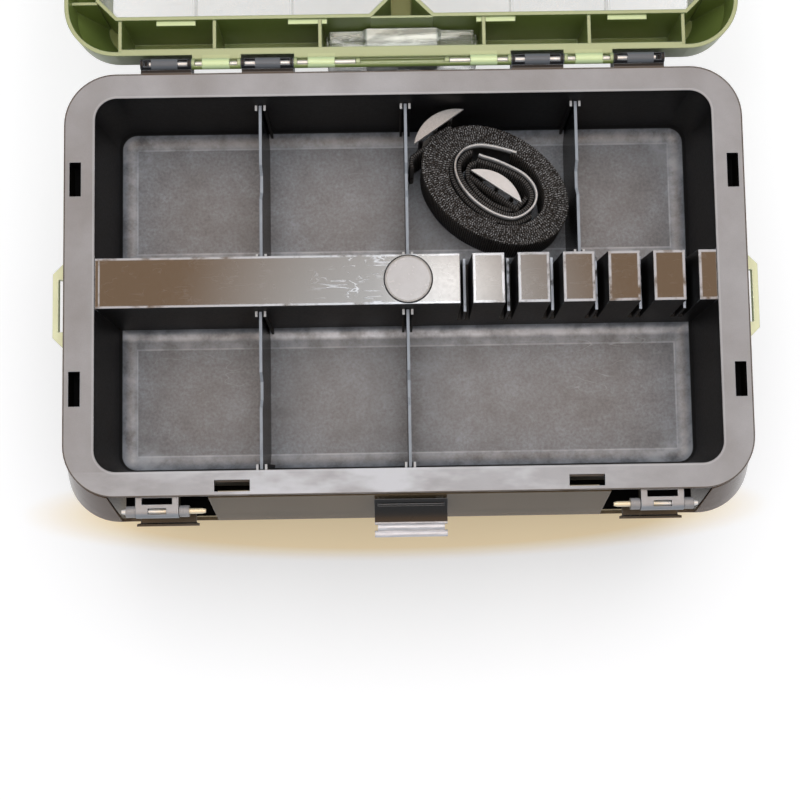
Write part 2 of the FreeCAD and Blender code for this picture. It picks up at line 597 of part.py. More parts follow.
def make_jamb():
    """Upright strip on the case's right side that the end of the front door shuts against."""
    return box(CASE_HALF_W, JAMB_X, JAMB_Y0, JAMB_Y1, JAMB_Z0, RIM_Z - JAMB_DROP)


def make_runner(k):
    """Right runner of one utility box: a ledge with an upright stop at its rear end."""
    z = BOX_Z0 + k * BOX_PITCH
    x1 = CASE_HALF_W - CASE_WALL
    y1 = BOX_Y0 + BOX_D + BAY_GAP
    ledge = box(LEDGE_IN, x1, LEDGE_Y0, y1 + LEDGE_STOP_T, z - LEDGE_T, z)
    return ledge.fuse(box(LEDGE_IN, x1, y1, y1 + LEDGE_STOP_T, z - LEDGE_T, z + LEDGE_STOP_H))


def make_door_pin():
    return rod_x(DOOR_KNUCKLE_X0 - DOOR_LUG_T, DOOR_KNUCKLE_X1 - EPS, DOOR_AXIS_Y, DOOR_AXIS_Z,
                 DOOR_PIN_R)


def make_box(k):
    """Tub of one clear utility box."""
    z = BOX_Z0 + k * BOX_PITCH
    hw = BOX_W / 2
    y0, y1 = BOX_Y0, BOX_Y0 + BOX_D
    tub = prism(rounded_rect(-hw, hw, y0, y1, BOX_R, z), BOX_H)
    w = BOX_WALL
    return tub.cut(prism(rounded_rect(-hw + w, hw - w, y0 + w, y1 - w, BOX_R - w, z + w), BOX_H))


def make_box_lid(k):
    """Flat lid with a lip that laps over the tub and two snap tabs in front."""
    z = BOX_Z0 + k * BOX_PITCH + BOX_H
    hw = BOX_W / 2 + BOX_LID_OUT
    y0, y1 = BOX_Y0 - BOX_LID_OUT, BOX_Y0 + BOX_D + BOX_LID_OUT
    r = BOX_R + BOX_LID_OUT
    lid = prism(rounded_rect(-hw, hw, y0, y1, r, z - BOX_LID_LIP), BOX_LID_LIP + BOX_LID_T)
    gap = BOX_LID_OUT - BOX_LID_GAP
    lid = lid.cut(prism(rounded_rect(-hw + gap, hw - gap, y0 + gap, y1 - gap, r - gap, z - BOX_LID_LIP * 2),
                        BOX_LID_LIP * 2))
    tabs = []
    for s in (-1, 1):
        x = s * BOX_LATCH_X
        tabs.append(box(x - BOX_LATCH_W / 2, x + BOX_LATCH_W / 2, y0 - BOX_LATCH_T, y0 + gap,
                        z + BOX_LID_T - BOX_LATCH_H, z + BOX_LID_T))
    return fuse(lid, tabs)


def make_loop():
    """Green anchor for the shoulder strap on the right side; the left one mirrors it."""
    x0 = CASE_HALF_W
    z0 = LOOP_Z - LOOP_T
    c = LOOP_CUT
    pts = [V(x0, LOOP_Y0, z0), V(LOOP_X1 - c, LOOP_Y0, z0), V(LOOP_X1, LOOP_Y0 + c, z0),
           V(LOOP_X1, LOOP_Y1 - c, z0), V(LOOP_X1 - c, LOOP_Y1, z0), V(x0, LOOP_Y1, z0)]
    plate = Part.Face(Part.makePolygon(pts + pts[:1])).extrude(V(0, 0, LOOP_T))
    slot = box(LOOP_SLOT_IN, LOOP_X1 - LOOP_BAR, LOOP_SLOT_Y0, LOOP_SLOT_Y1, z0 - EPS, LOOP_Z + EPS)
    base = box(x0, x0 + LOOP_BASE_T, LOOP_Y0, LOOP_Y1, LOOP_Z - LOOP_BASE_H, LOOP_Z)
    parts = [base]
    for y in (LOOP_Y0, LOOP_Y1 - LOOP_GUSSET_T):
        tri = [V(x0, y, z0 + EPS), V(x0 + LOOP_GUSSET, y, z0 + EPS), V(x0, y, z0 - LOOP_GUSSET)]
        parts.append(Part.Face(Part.makePolygon(tri + tri[:1])).extrude(V(0, LOOP_GUSSET_T, 0)))
    return fuse(plate.cut(slot), parts)


# Front door

def door_body(shrink):
    """Solid inside the door's outer face, shrunk evenly for its inner face."""
    far = RIM_D / 2
    s = shrink
    secs = ((DOOR_LOW_Z - s, DOOR_LOW_HALF, DOOR_LOW_Y, DOOR_LOW_R),
            (RIM_Z - DOOR_MID_DROP, DOOR_MID_HALF, DOOR_MID_Y, DOOR_MID_R),
            (RIM_Z - DOOR_TOP_DROP + s, DOOR_TOP_HALF, DOOR_TOP_Y, DOOR_TOP_R))
    wires = [rounded_rect(-h + s, h - s, y + s, far, r - s, z) for z, h, y, r in secs]
    return loft(wires)


def door_face_y(drop):
    """Y of the door's outer face between its top edge and its widest line."""
    share = (drop - DOOR_TOP_DROP) / (DOOR_MID_DROP - DOOR_TOP_DROP)
    return DOOR_TOP_Y + share * (DOOR_MID_Y - DOOR_TOP_Y)


def ear_starts():
    """Left side of each of the door's two ears for the pull's pin."""
    return (PULL_X0 + PULL_WALL + DOOR_SIDE_GAP, PULL_X1 - PULL_WALL - DOOR_SIDE_GAP - PULL_EAR_T)


def make_door():
    body = door_body(0).cut(door_body(DOOR_T))
    w, low, high = RIM_W, DOOR_LOW_Z, RIM_Z
    body = body.common(box(-w, w, -w, DOOR_END_Y, low, high))
    top = RIM_Z - DOOR_TOP_DROP
    fall = plate_yz([(DOOR_TOP_Y, top), (DOOR_END_Y + EPS, top - DOOR_END_DROP), (DOOR_END_Y + EPS, high),
                     (DOOR_TOP_Y - w, high), (DOOR_TOP_Y - w, top)], -w, w)
    body = body.cut(fall)
    cuts = []
    for s in (-1, 1):
        xs = sorted((s * NOTCH_X0, s * NOTCH_X1))
        win = rounded_rect(xs[0], xs[1], RIM_Z - NOTCH_DROP, RIM_Z + NOTCH_DROP, NOTCH_R, 0)
        cut = Part.Face(win).extrude(V(0, 0, w))
        cut.rotate(V(0, 0, 0), V(1, 0, 0), 90)
        cut.translate(V(0, DOOR_END_Y, 0))
        cuts.append(cut)
    body = body.cut(cuts)
    adds = []
    for s in (-1, 1):
        x0, x1 = DOOR_KNUCKLE_X0, DOOR_KNUCKLE_X1
        knuckle = rod_x(x0, x1, DOOR_AXIS_Y, DOOR_AXIS_Z, DOOR_KNUCKLE_R)
        inner = DOOR_LOW_Y + DOOR_T - EPS * 3
        knuckle = knuckle.fuse(box(x0, x1, inner, DOOR_AXIS_Y, DOOR_AXIS_Z - DOOR_KNUCKLE_R,
                                   DOOR_AXIS_Z + DOOR_KNUCKLE_R))
        knuckle = knuckle.common(door_body(0))
        adds.append(knuckle if s > 0 else mirror_x(knuckle))
    ear_z = RIM_Z - PULL_AXIS_DROP
    for x in ear_starts():
        ear = rod_x(x, x + PULL_EAR_T, PULL_AXIS_Y, ear_z, PULL_EAR_R)
        root = door_face_y(PULL_AXIS_DROP) + EPS
        adds.append(ear.fuse(box(x, x + PULL_EAR_T, PULL_AXIS_Y, root, ear_z - PULL_EAR_R,
                                 ear_z + PULL_EAR_R)))
    body = fuse(body, adds)
    bores = [rod_x(PULL_X0, PULL_X1, PULL_AXIS_Y, ear_z, PULL_PIN_R + ROD_FIT)]
    for s in (-1, 1):
        bore = rod_x(DOOR_KNUCKLE_X0 - EPS, DOOR_KNUCKLE_X1 + EPS, DOOR_AXIS_Y, DOOR_AXIS_Z,
                     DOOR_PIN_R + ROD_FIT)
        bores.append(bore if s > 0 else mirror_x(bore))
    return body.cut(bores)


def pull_outline(inset):
    """Side view of the pull: dished top, throat under the bars, hub round its pin."""
    z = RIM_Z
    i = inset
    top = V(0, PULL_TOP_Y - i, z - PULL_TOP_DROP - i)
    dish = V(0, PULL_DISH_Y, z - PULL_DISH_DROP - i)
    sag = V(0, (top.y + dish.y) / 2 - PULL_DISH_SAG / 2, (top.z + dish.z) / 2 - PULL_DISH_SAG)
    throat = V(0, PULL_THROAT_Y + i, z - PULL_THROAT_DROP)
    hub_z = z - PULL_AXIS_DROP
    r = PULL_HUB_R
    front = V(0, PULL_AXIS_Y - r + i / 2, hub_z)
    under = V(0, PULL_AXIS_Y, hub_z - r + i / 2)
    back = V(0, PULL_AXIS_Y + r - i / 2, hub_z)
    return Part.Wire([Part.Arc(top, sag, dish).toShape(), Part.makeLine(dish, throat),
                      Part.makeLine(throat, front), Part.Arc(front, under, back).toShape(),
                      Part.makeLine(back, top)])


def make_pull():
    x0, x1 = PULL_X0, PULL_X1
    body = run_x(Part.Face(pull_outline(0)), x0, x1)
    z = RIM_Z
    b1 = rod_x(x0 + BAR1_SHORT, x1 - BAR1_SHORT, BAR1_Y, z - BAR1_DROP, BAR1_R)
    b2 = rod_x(x0, x1, BAR2_Y, z - BAR2_DROP, BAR2_R)
    bridge = plate_yz([(BAR1_Y + BAR1_R, z - BAR1_DROP), (BAR1_Y, z - BAR1_DROP),
                       (BAR2_Y, z - BAR2_DROP + BAR2_R / 2), (BAR2_Y, z - BAR2_DROP - BAR2_R),
                       (PULL_THROAT_Y, z - PULL_THROAT_DROP), (PULL_DISH_Y + EPS, z - PULL_DISH_DROP)],
                      x0 + BAR1_SHORT, x1 - BAR1_SHORT)
    body = fuse(body, [b1, b2, bridge])
    hollow = run_x(Part.Face(pull_outline(PULL_WALL)), x0 + PULL_WALL, x1 - PULL_WALL)
    back = plate_yz([(PULL_AXIS_Y, z - PULL_AXIS_DROP - PULL_HUB_R * 2),
                     (PULL_AXIS_Y + PULL_HUB_R * 3, z - PULL_AXIS_DROP - PULL_HUB_R * 2),
                     (PULL_TOP_Y + PULL_HUB_R, z - PULL_TOP_DROP - PULL_WALL * 2),
                     (PULL_TOP_Y - PULL_WALL * 2, z - PULL_TOP_DROP - PULL_WALL * 2)],
                    x0 + PULL_WALL, x1 - PULL_WALL)
    room = []
    for x in ear_starts():
        a, b, r = x - PULL_EAR_ROOM, x + PULL_EAR_T + PULL_EAR_ROOM, PULL_EAR_R + PULL_EAR_ROOM
        hub_z = z - PULL_AXIS_DROP
        room += [rod_x(a, b, PULL_AXIS_Y, hub_z, r), box(a, b, PULL_AXIS_Y, PULL_TOP_Y, hub_z - r, hub_z + r)]
    body = body.cut([hollow, back] + room)
    return body.cut(rod_x(x0 - EPS, x1 + EPS, PULL_AXIS_Y, z - PULL_AXIS_DROP, PULL_PIN_R + ROD_FIT))


def make_pull_pin():
    return rod_x(PULL_X0 + PULL_WALL / 4, PULL_X1 - PULL_WALL / 4, PULL_AXIS_Y, RIM_Z - PULL_AXIS_DROP,
                 PULL_PIN_R)


# Lid latches

def latch_span(side, a, b):
    """X range of something given from the latch's middle, outboard first."""
    xs = sorted((side * (LATCH_X - a), side * (LATCH_X - b)))
    return xs[0], xs[1]


def make_latch_rod(side):
    y, z = LATCH_AXIS_Y, RIM_Z - LATCH_AXIS_DROP
    x0, x1 = latch_span(side, LATCH_ROD_X0 + LATCH_TIP_L, LATCH_ROD_X1 - LATCH_TIP_L)
    rod = rod_x(x0, x1, y, z, LATCH_ROD_R)
    for x, d in ((x0, -1), (x1, 1)):
        tip = Part.makeCone(LATCH_ROD_R, LATCH_TIP_R, LATCH_TIP_L, V(x, y, z), V(d, 0, 0))
        rod = rod.fuse(tip)
    return rod


def make_lever(side):
    """Latch lever, hanging from its rod; the hook along its free end faces forward."""
    y, z = LATCH_AXIS_Y, RIM_Z - LATCH_AXIS_DROP
    x0, x1 = latch_span(side, LEVER_X0, LEVER_X1)
    half = LEVER_T / 2
    low = z - LEVER_LEN
    plate = box(x0, x1, y - half, y + half, low, z - LEVER_IN_R)
    hook = box(x0, x1, y - half - LEVER_HOOK_OUT, y + half, low, low + LEVER_HOOK_T)
    end, tip = y - half - LEVER_HOOK_OUT, low + LEVER_HOOK_T + LEVER_LIP
    lip = plate_yz([(end, low), (end, tip), (end + LEVER_T / 2, tip), (end + LEVER_T, low)], x0, x1)
    adds = [hook, lip]
    near = BRACKET_HALF + LEVER_BARREL_GAP
    bx = (latch_span(side, -near, -near - LEVER_BARREL_L), latch_span(side, near, near + LEVER_BARREL_L))
    for a, b in bx:
        adds.append(rod_x(a, b, y, z, LEVER_BARREL_R))
        adds.append(box(a, b, y - half, y + half, z - LEVER_IN_R - EPS, z))
    body = fuse(plate, adds)
    cut = LEVER_CUT
    reach = LEVER_HOOK_OUT * 2
    for x, d in ((x0, 1), (x1, -1)):
        pts = [V(x - d * EPS, y - reach, low - EPS), V(x + d * cut, y - reach, low - EPS),
               V(x - d * EPS, y - reach, low + cut)]
        body = body.cut(Part.Face(Part.makePolygon(pts + pts[:1])).extrude(V(0, reach * 2, 0)))
    mid = (x0 + x1) / 2
    dish = Part.makeCylinder(LEVER_DISH_R, LEVER_DISH_HALF * 2,
                             V(mid - LEVER_DISH_HALF, y + half + LEVER_DISH_R - LEVER_T / 3,
                               (low + z) / 2), V(1, 0, 0))
    body = body.cut(dish)
    return body.cut(rod_x(x0 - EPS, x1 + EPS, y, z, LATCH_ROD_R + ROD_FIT))


# Lid and what it carries, built shut and laid open

def lay_open(shape):
    out = shape.copy()
    out.rotate(V(0, HINGE_Y, RIM_Z), V(1, 0, 0), 180)
    return out


def lid_outline(inset, r, up):
    return rounded_rect(-LID_HALF_W + inset, LID_HALF_W - inset, LID_Y0 + inset, LID_Y1 - inset, r,
                        RIM_Z + up)


def bay_outline(side, inset, up):
    xs = sorted((side * (BAY_X0 + inset), side * (BAY_X1 - inset)))
    cut = BAY_CUT - inset * (2 - math.sqrt(2))
    return octagon(xs[0], xs[1], BAY_Y0 + inset, BAY_Y1 - inset, cut, RIM_Z + up)


def bay_frame(side):
    ring = prism(bay_outline(side, 0, BAY_FREE_Z), LID_TOP_Z - BAY_FREE_Z)
    ledge_in = BAY_WALL + BAY_LEDGE
    ring = ring.cut(prism(bay_outline(side, ledge_in, BAY_FREE_Z - EPS), LID_TOP_Z))
    return ring.cut(prism(bay_outline(side, BAY_WALL, BAY_FREE_Z + BAY_LEDGE_T), LID_TOP_Z))


def window_spans():
    return [(x - TAB_W / 2, x + TAB_W / 2) for x in TAB_X]


def make_lid():
    w = LID_WALL
    outer = loft([lid_outline(0, LID_R, LID_GAP),
                  lid_outline(LID_SHOULDER_IN, LID_R - LID_SHOULDER_IN, LID_SHOULDER_Z),
                  lid_outline(LID_TOP_IN, LID_TOP_R, LID_TOP_Z)])
    inner = loft([lid_outline(w, LID_R - w, LID_GAP - EPS),
                  lid_outline(LID_SHOULDER_IN + w, LID_R - LID_SHOULDER_IN - w, LID_SHOULDER_Z),
                  lid_outline(LID_TOP_IN + w, LID_TOP_R - w, LID_TOP_Z - w)])
    z = RIM_Z
    deck = z + LID_TOP_Z
    inside = [box(-LID_BAND_X, LID_BAND_X, LID_Y1 - w - LID_BAND_T, LID_Y1 - w / 2, z + LID_GAP,
                  z + LID_BAND_H)]
    for s in (-1, 1):
        inside.append(bay_frame(s))
        for y in SIDE_RIB_Y:
            xs = sorted((s * (BAY_X1 - BAY_WALL / 2), s * LID_HALF_W))
            inside.append(box(xs[0], xs[1], y - SIDE_RIB_T / 2, y + SIDE_RIB_T / 2, z + LID_RIB_Z, deck))
        for x in LID_RIB_X:
            xs = (s * x - LID_RIB_T / 2, s * x + LID_RIB_T / 2)
            inside.append(box(xs[0], xs[1], BAY_Y1 - BAY_WALL / 2, LID_Y1 - w / 2, z + LID_RIB_Z, deck))
            if x > LID_RIB_X[0]:
                inside.append(box(xs[0], xs[1], LID_Y0 + w / 2, BAY_Y0 + BAY_WALL / 2, z + FRONT_RIB_Z, deck))
        for x0, x1 in window_spans():
            xs = sorted((s * x0, s * x1))
            inside.append(box(xs[0], xs[1], BAY_Y1 - BAY_WALL / 2, BAY_Y1 + TAB_OUT, z + TAB_Z,
                              z + TAB_Z + TAB_T))
    r = RECESS_X + WALL
    inside.append(box(-r, r, RECESS_Y0 - WALL, RECESS_Y1 + WALL, deck - RECESS_DEPTH - WALL, deck))
    clipped = [p.common(outer) for p in inside]
    body = fuse(outer.cut(inner), clipped)
    cuts = [box(-RECESS_X, RECESS_X, RECESS_Y0, RECESS_Y1, deck - RECESS_DEPTH, deck + EPS)]
    for s in (-1, 1):
        cuts.append(prism(bay_outline(s, BAY_WALL, LID_TOP_Z - w - EPS), w * 2))
    body = body.cut(cuts)
    adds = []
    for s in (-1, 1):
        k = s * LATCH_X
        y0 = -KEEPER_OUT
        groove_z = z + KEEPER_Z1 - KEEPER_GROOVE
        adds.append(plate_yz([(LID_Y0 + w, groove_z), (y0 + KEEPER_RIB_T, groove_z),
                              (y0 + KEEPER_RIB_T, z + KEEPER_Z1), (y0, z + KEEPER_Z1),
                              (y0, z + KEEPER_Z1 - KEEPER_LIP), (LID_Y0 + w / 4, z + KEEPER_Z0),
                              (LID_Y0 + w, z + KEEPER_Z0)], k - KEEPER_HALF, k + KEEPER_HALF).cut(inner))
        for x0, x1 in window_spans():
            g = WINDOW_SIDE_GAP
            for a in (x0 - g - WINDOW_LUG_T, x1 + g):
                xs = sorted((s * a, s * (a + WINDOW_LUG_T)))
                adds.append(box(xs[0], xs[1], WINDOW_AXIS_Y - WINDOW_LUG_FRONT,
                                WINDOW_AXIS_Y + WINDOW_LUG_REAR, deck - w / 2,
                                deck + WINDOW_AXIS_UP + BARREL_R))
        for x0, x1, b0, b1 in LEAF_SPANS:
            leaf = hinge_block(x0, x1, b0, b1, LID_Y1 - w / 2, z + LID_GAP, z + HINGE_R, -1)
            adds.append(leaf if s > 0 else mirror_x(leaf))
    n = LONG_LEAF_X
    b0, b1 = LONG_BRIDGE
    long_leaf = rod_x(-n, n, HINGE_Y, z, HINGE_R)
    long_leaf = long_leaf.fuse(box(-n, n, LID_Y1 - w / 2, HINGE_Y, z + LID_GAP, z + HINGE_R))
    low = z - HINGE_R * 2
    half = TROUGH_HALF
    notches = [box(-b0, b0, HINGE_Y - half, HINGE_Y + half, low, z)]
    for s in (-1, 1):
        xs = sorted((s * b1, s * (n - WALL)))
        notches.append(box(xs[0], xs[1], HINGE_Y - half, HINGE_Y + half, low, z))
    adds.append(long_leaf.cut(notches))
    body = fuse(body, adds)
    leaf_out = LEAF_SPANS[-1][1] + EPS
    bores = [rod_x(-leaf_out, leaf_out, HINGE_Y, z, ROD_R + ROD_FIT)]
    pin_y, pin_z = WINDOW_AXIS_Y, deck + WINDOW_AXIS_UP
    lo, hi = window_spans()[0][0] - WINDOW_LUG_T * 2, window_spans()[-1][1] + WINDOW_LUG_T * 2
    for s in (-1, 1):
        xs = sorted((s * lo, s * hi))
        bores.append(rod_x(xs[0], xs[1], pin_y, pin_z, WINDOW_PIN_R + ROD_FIT))
        xs = sorted((s * (RECESS_X - EPS), s * (HANDLE_PIN_X1 + ROD_FIT)))
        bores.append(rod_x(xs[0], xs[1], HANDLE_AXIS_Y, deck - HANDLE_AXIS_DOWN, HANDLE_PIN_R + ROD_FIT))
    body = body.cut(bores)
    nubs = []
    for s in (-1, 1):
        xs = sorted((s * ROD_NUB[0], s * ROD_NUB[1]))
        nubs.append(rod_x(xs[0], xs[1], HINGE_Y, z, HINGE_R - WALL / 2))
    return fuse(body, nubs)


def make_tray(side):
    """Clear floor and walls of a window bay, with cross ribs on its upper side."""
    gap = BAY_GAP
    z0 = BAY_FREE_Z + BAY_LEDGE_T + gap / 2
    tray = prism(bay_outline(side, BAY_WALL + gap, z0), TRAY_H)
    tray = tray.cut(prism(bay_outline(side, BAY_WALL + gap + TRAY_T, z0 + TRAY_T), TRAY_H))
    ribs = []
    for share in TRAY_RIB_X_SHARES:
        x = side * (BAY_X0 + share * (BAY_X1 - BAY_X0))
        ribs.append(box(x - TRAY_RIB_T / 2, x + TRAY_RIB_T / 2, BAY_Y0 + BAY_WALL + TRAY_T,
                        BAY_Y1 - BAY_WALL - TRAY_T, RIM_Z + z0 + TRAY_T / 2, RIM_Z + z0 + TRAY_RIB_H))
    y = (BAY_Y0 + BAY_Y1) / 2
    xs = sorted((side * (BAY_X0 + BAY_WALL + TRAY_T), side * (BAY_X1 - BAY_WALL - TRAY_T)))
    ribs.append(box(xs[0], xs[1], y - TRAY_RIB_T / 2, y + TRAY_RIB_T / 2, RIM_Z + z0 + TRAY_T / 2,
                    RIM_Z + z0 + TRAY_RIB_H))
    return fuse(tray, ribs)


def make_window(side):
    """Clear eight-sided door in the lid's top, with barrels along its rear edge."""
    deck = RIM_Z + LID_TOP_Z
    gap = BAY_GAP
    body = prism(bay_outline(side, BAY_WALL + gap, LID_TOP_Z - WINDOW_T), WINDOW_T)
    adds = []
    y, z = WINDOW_AXIS_Y, deck + WINDOW_AXIS_UP
    front = BAY_Y1 - WINDOW_ARM_IN
    for x0, x1 in window_spans():
        xs = sorted((side * x0, side * x1))
        adds.append(rod_x(xs[0], xs[1], y, z, BARREL_R))
        adds.append(box(xs[0], xs[1], front, y, deck + gap, z))
        adds.append(box(xs[0], xs[1], front, BAY_Y1 - BAY_WALL - gap * 2, deck - WINDOW_T / 2,
                        deck + gap * 2))
    mid = side * (BAY_X0 + BAY_X1) / 2
    half = WINDOW_TAB_HALF
    adds.append(box(mid - half, mid + half, BAY_Y0 - WINDOW_TAB_OUT + BAY_WALL, BAY_Y0 + WINDOW_ARM_IN,
                    deck + gap, deck + WINDOW_AXIS_UP))
    adds.append(box(mid - half, mid + half, BAY_Y0 + BAY_WALL + gap * 2, BAY_Y0 + WINDOW_ARM_IN,
                    deck - WINDOW_T / 2, deck + gap * 2))
    body = fuse(body, adds)
    xs = sorted((side * (TAB_X[0] - TAB_W), side * (TAB_X[-1] + TAB_W)))
    return body.cut(rod_x(xs[0], xs[1], y, z, WINDOW_PIN_R + ROD_FIT))


def make_window_pin(side):
    z = RIM_Z + LID_TOP_Z + WINDOW_AXIS_UP
    lo, hi = window_spans()[0][0] - WINDOW_LUG_T, window_spans()[-1][1] + WINDOW_LUG_T
    xs = sorted((side * lo, side * hi))
    return rod_x(xs[0], xs[1], WINDOW_AXIS_Y, z, WINDOW_PIN_R)


def make_handle():
    """Bail handle folded flat into its recess."""
    z = RIM_Z + LID_TOP_Z - HANDLE_AXIS_DOWN
    out = HANDLE_ARM_X + HANDLE_ARM_W / 2
    y0 = HANDLE_AXIS_Y - HANDLE_REACH - HANDLE_GRIP_W / 2
    half = HANDLE_H / 2
    y1 = HANDLE_AXIS_Y + HANDLE_BEND_R
    body = prism(rounded_rect(-out, out, y0, y1, HANDLE_BEND_R, z - half), HANDLE_H)
    x_in = out - HANDLE_ARM_W
    r_in = HANDLE_BEND_R - HANDLE_ARM_W / 2
    hole = prism(rounded_rect(-x_in, x_in, y0 + HANDLE_GRIP_W, HANDLE_AXIS_Y + HANDLE_REACH, r_in,
                              z - half - EPS), HANDLE_H * 2)
    body = body.cut(hole)
    body = body.cut(box(-RIM_W, RIM_W, HANDLE_AXIS_Y, HANDLE_AXIS_Y + RIM_D, z - HANDLE_H, z + HANDLE_H))
    adds = []
    for s in (-1, 1):
        xs = sorted((s * x_in, s * out))
        adds.append(rod_x(xs[0], xs[1], HANDLE_AXIS_Y, z, half))
    body = fuse(body, adds)
    edges = [e for e in body.Edges if e.BoundBox.YLength < EPS and e.BoundBox.XLength > RIM_W / 4]
    body = body.makeFillet(HANDLE_EDGE_R, edges)
    return body.cut(rod_x(-RIM_W, RIM_W, HANDLE_AXIS_Y, z, HANDLE_PIN_R + ROD_FIT))


def make_handle_pin(side):
    z = RIM_Z + LID_TOP_Z - HANDLE_AXIS_DOWN
    xs = sorted((side * HANDLE_PIN_X0, side * HANDLE_PIN_X1))
    return rod_x(xs[0], xs[1], HANDLE_AXIS_Y, z, HANDLE_PIN_R)


def make_hinge_rod(side):
    xs = sorted((side * ROD_X0, side * ROD_X1))
    return rod_x(xs[0], xs[1], HINGE_Y, RIM_Z, ROD_R)


# Strap

def spiral_point(a, b, shrink, turn, tilt):
    """Point and direction on an oval spiral; shrink is what both half axes lose per full turn."""
    t = math.radians(turn)
    ra, rb = (axis - less * turn / 360.0 for axis, less in zip((a, b), shrink))
    fall_a, fall_b = (less / (2 * math.pi) for less in shrink)
    x, y = ra * math.cos(t), rb * math.sin(t)
    dx = -ra * math.sin(t) - fall_a * math.cos(t)
    dy = rb * math.cos(t) - fall_b * math.sin(t)
    k = math.radians(tilt)
    p = V(x * math.cos(k) - y * math.sin(k), x * math.sin(k) + y * math.cos(k), 0)
    d = V(dx * math.cos(k) - dy * math.sin(k), dx * math.sin(k) + dy * math.cos(k), 0)
    return p, d.normalize()


def biarc(p0, d0, p1, d1):
    """Joint of the two arcs that leave p0 along d0 and reach p1 along d1."""
    v = p1 - p0
    s = d0 + d1
    vs = v.dot(s)
    q = 2 * (1 - d0.dot(d1))
    if abs(q) < PARALLEL:
        return (p0 + p1) * 0.5
    reach = (-vs + math.sqrt(vs * vs + q * v.dot(v))) / q
    return (p0 + d0 * reach + p1 - d1 * reach) * 0.5


def arc_data(p0, d0, p1):
    """Centre of the arc from p0 along d0 to p1, both in one level plane."""
    n = V(-d0.y, d0.x, 0)
    c = p1 - p0
    r = c.dot(c) / (2 * c.dot(n))
    return p0 + n * r, r


def band(a, b, shrink, turns, start, tilt, thick):
    """Face of a flat band wound on an oval spiral, as two offset rows of arcs."""
    steps = int(round(turns * 360.0 / BIARC_STEP))
    nodes = []
    for i in range(steps + 1):
        nodes.append(spiral_point(a, b, shrink, start + i * turns * 360.0 / steps, tilt))
    arcs = []
    for (p0, d0), (p1, d1) in zip(nodes, nodes[1:]):
        j = biarc(p0, d0, p1, d1)
        c0, r0 = arc_data(p0, d0, j)
        c1, r1 = arc_data(p1, d1 * -1, j)
        arcs.append((c0, abs(r0), p0, j))
        arcs.append((c1, abs(r1), j, p1))
    rows = {}
    for s in (-1, 1):
        row = []
        for c, r, p, q in arcs:
            u, w = (p - c).normalize(), (q - c).normalize()
            m = (u + w).normalize()
            rr = r + s * thick / 2
            row.append((c + u * rr, c + m * rr, c + w * rr))
        rows[s] = row
    edges = [Part.Arc(*pts).toShape() for pts in rows[1]]
    edges.append(Part.makeLine(rows[1][-1][2], rows[-1][-1][2]))
    edges += [Part.Arc(pts[2], pts[1], pts[0]).toShape() for pts in reversed(rows[-1])]
    edges.append(Part.makeLine(rows[-1][0][0], rows[1][0][0]))
    return Part.Face(Part.Wire(edges)), arcs


def centre_points(arcs):
    pts = []
    per_arc = POINTS_PER_ARC
    for c, r, p, q in arcs:
        a0 = math.atan2(p.y - c.y, p.x - c.x)
        a1 = math.atan2(q.y - c.y, q.x - c.x)
        turn = (a1 - a0 + math.pi) % (2 * math.pi) - math.pi
        for i in range(per_arc):
            k = a0 + turn * i / per_arc
            pts.append(V(c.x + r * math.cos(k), c.y + r * math.sin(k), 0))
    return pts


def least_gap(arcs, thick):
    """Smallest space between two neighbouring turns, measured on points of the centre line."""
    pts = centre_points(arcs)
    per_turn = int(POINTS_PER_ARC * 2 * 360.0 / BIARC_STEP)
    spaces = []
    for i, p in enumerate(pts):
        spaces += [p.distanceToPoint(q) for q in pts[i + per_turn // 2:i + 3 * per_turn // 2]]
    return min(spaces) - thick


def wound(a, b, shrink, turns, start, tilt, thick, height, z, label):
    face, arcs = band(a, b, shrink, turns, start, tilt, thick)
    gap = least_gap(arcs, thick)
    print("%s: least gap to itself %.2f mm over %.2f turns" % (label, gap, turns))
    body = face.extrude(V(0, 0, height))
    body.translate(V(COIL_X, COIL_Y, z))
    return body


def make_coil():
    half = COIL_BAND / 2
    a, b = (axis - half + less * COIL_START / 360.0 for axis, less in zip((COIL_A, COIL_B), COIL_PITCH))
    return wound(a, b, COIL_PITCH, COIL_TURNS, COIL_START, COIL_TILT, COIL_BAND, COIL_H,
                 FLOOR_Z + STRIP_Z_GAP, "strap coil")


def make_strip():
    a, b = (axis + less * STRIP_START / 360.0 for axis, less in zip((STRIP_A, STRIP_B), STRIP_INWARD))
    return wound(a, b, STRIP_INWARD, STRIP_TURNS, STRIP_START, STRIP_TILT, STRIP_T, STRIP_H,
                 FLOOR_Z + STRIP_Z_GAP, "pad strip")


def make_buckle(x, y, angle, lift):
    """Strap buckle on its side: two segment-shaped cheeks joined by upright bars."""
    c, s = BUCKLE_CHORD, BUCKLE_SAG
    cheek = Part.Wire([Part.Arc(V(-c / 2, 0, 0), V(0, s, 0), V(c / 2, 0, 0)).toShape(),
                       Part.makeLine(V(c / 2, 0, 0), V(-c / 2, 0, 0))])
    low = prism(cheek, BUCKLE_T)
    high = low.copy()
    high.translate(V(0, 0, BUCKLE_H - BUCKLE_T))
    bars = []
    for share in BUCKLE_BAR_SHARES:
        bx = (share - 0.5) * c
        bars.append(Part.makeCylinder(BUCKLE_BAR_R, BUCKLE_H - BUCKLE_T, V(bx, BUCKLE_BAR_IN, BUCKLE_T / 2)))
    body = fuse(low, [high] + bars)
    body.rotate(V(0, 0, 0), V(0, 0, 1), angle)
    body.translate(V(x, y, FLOOR_Z + lift))
    return body


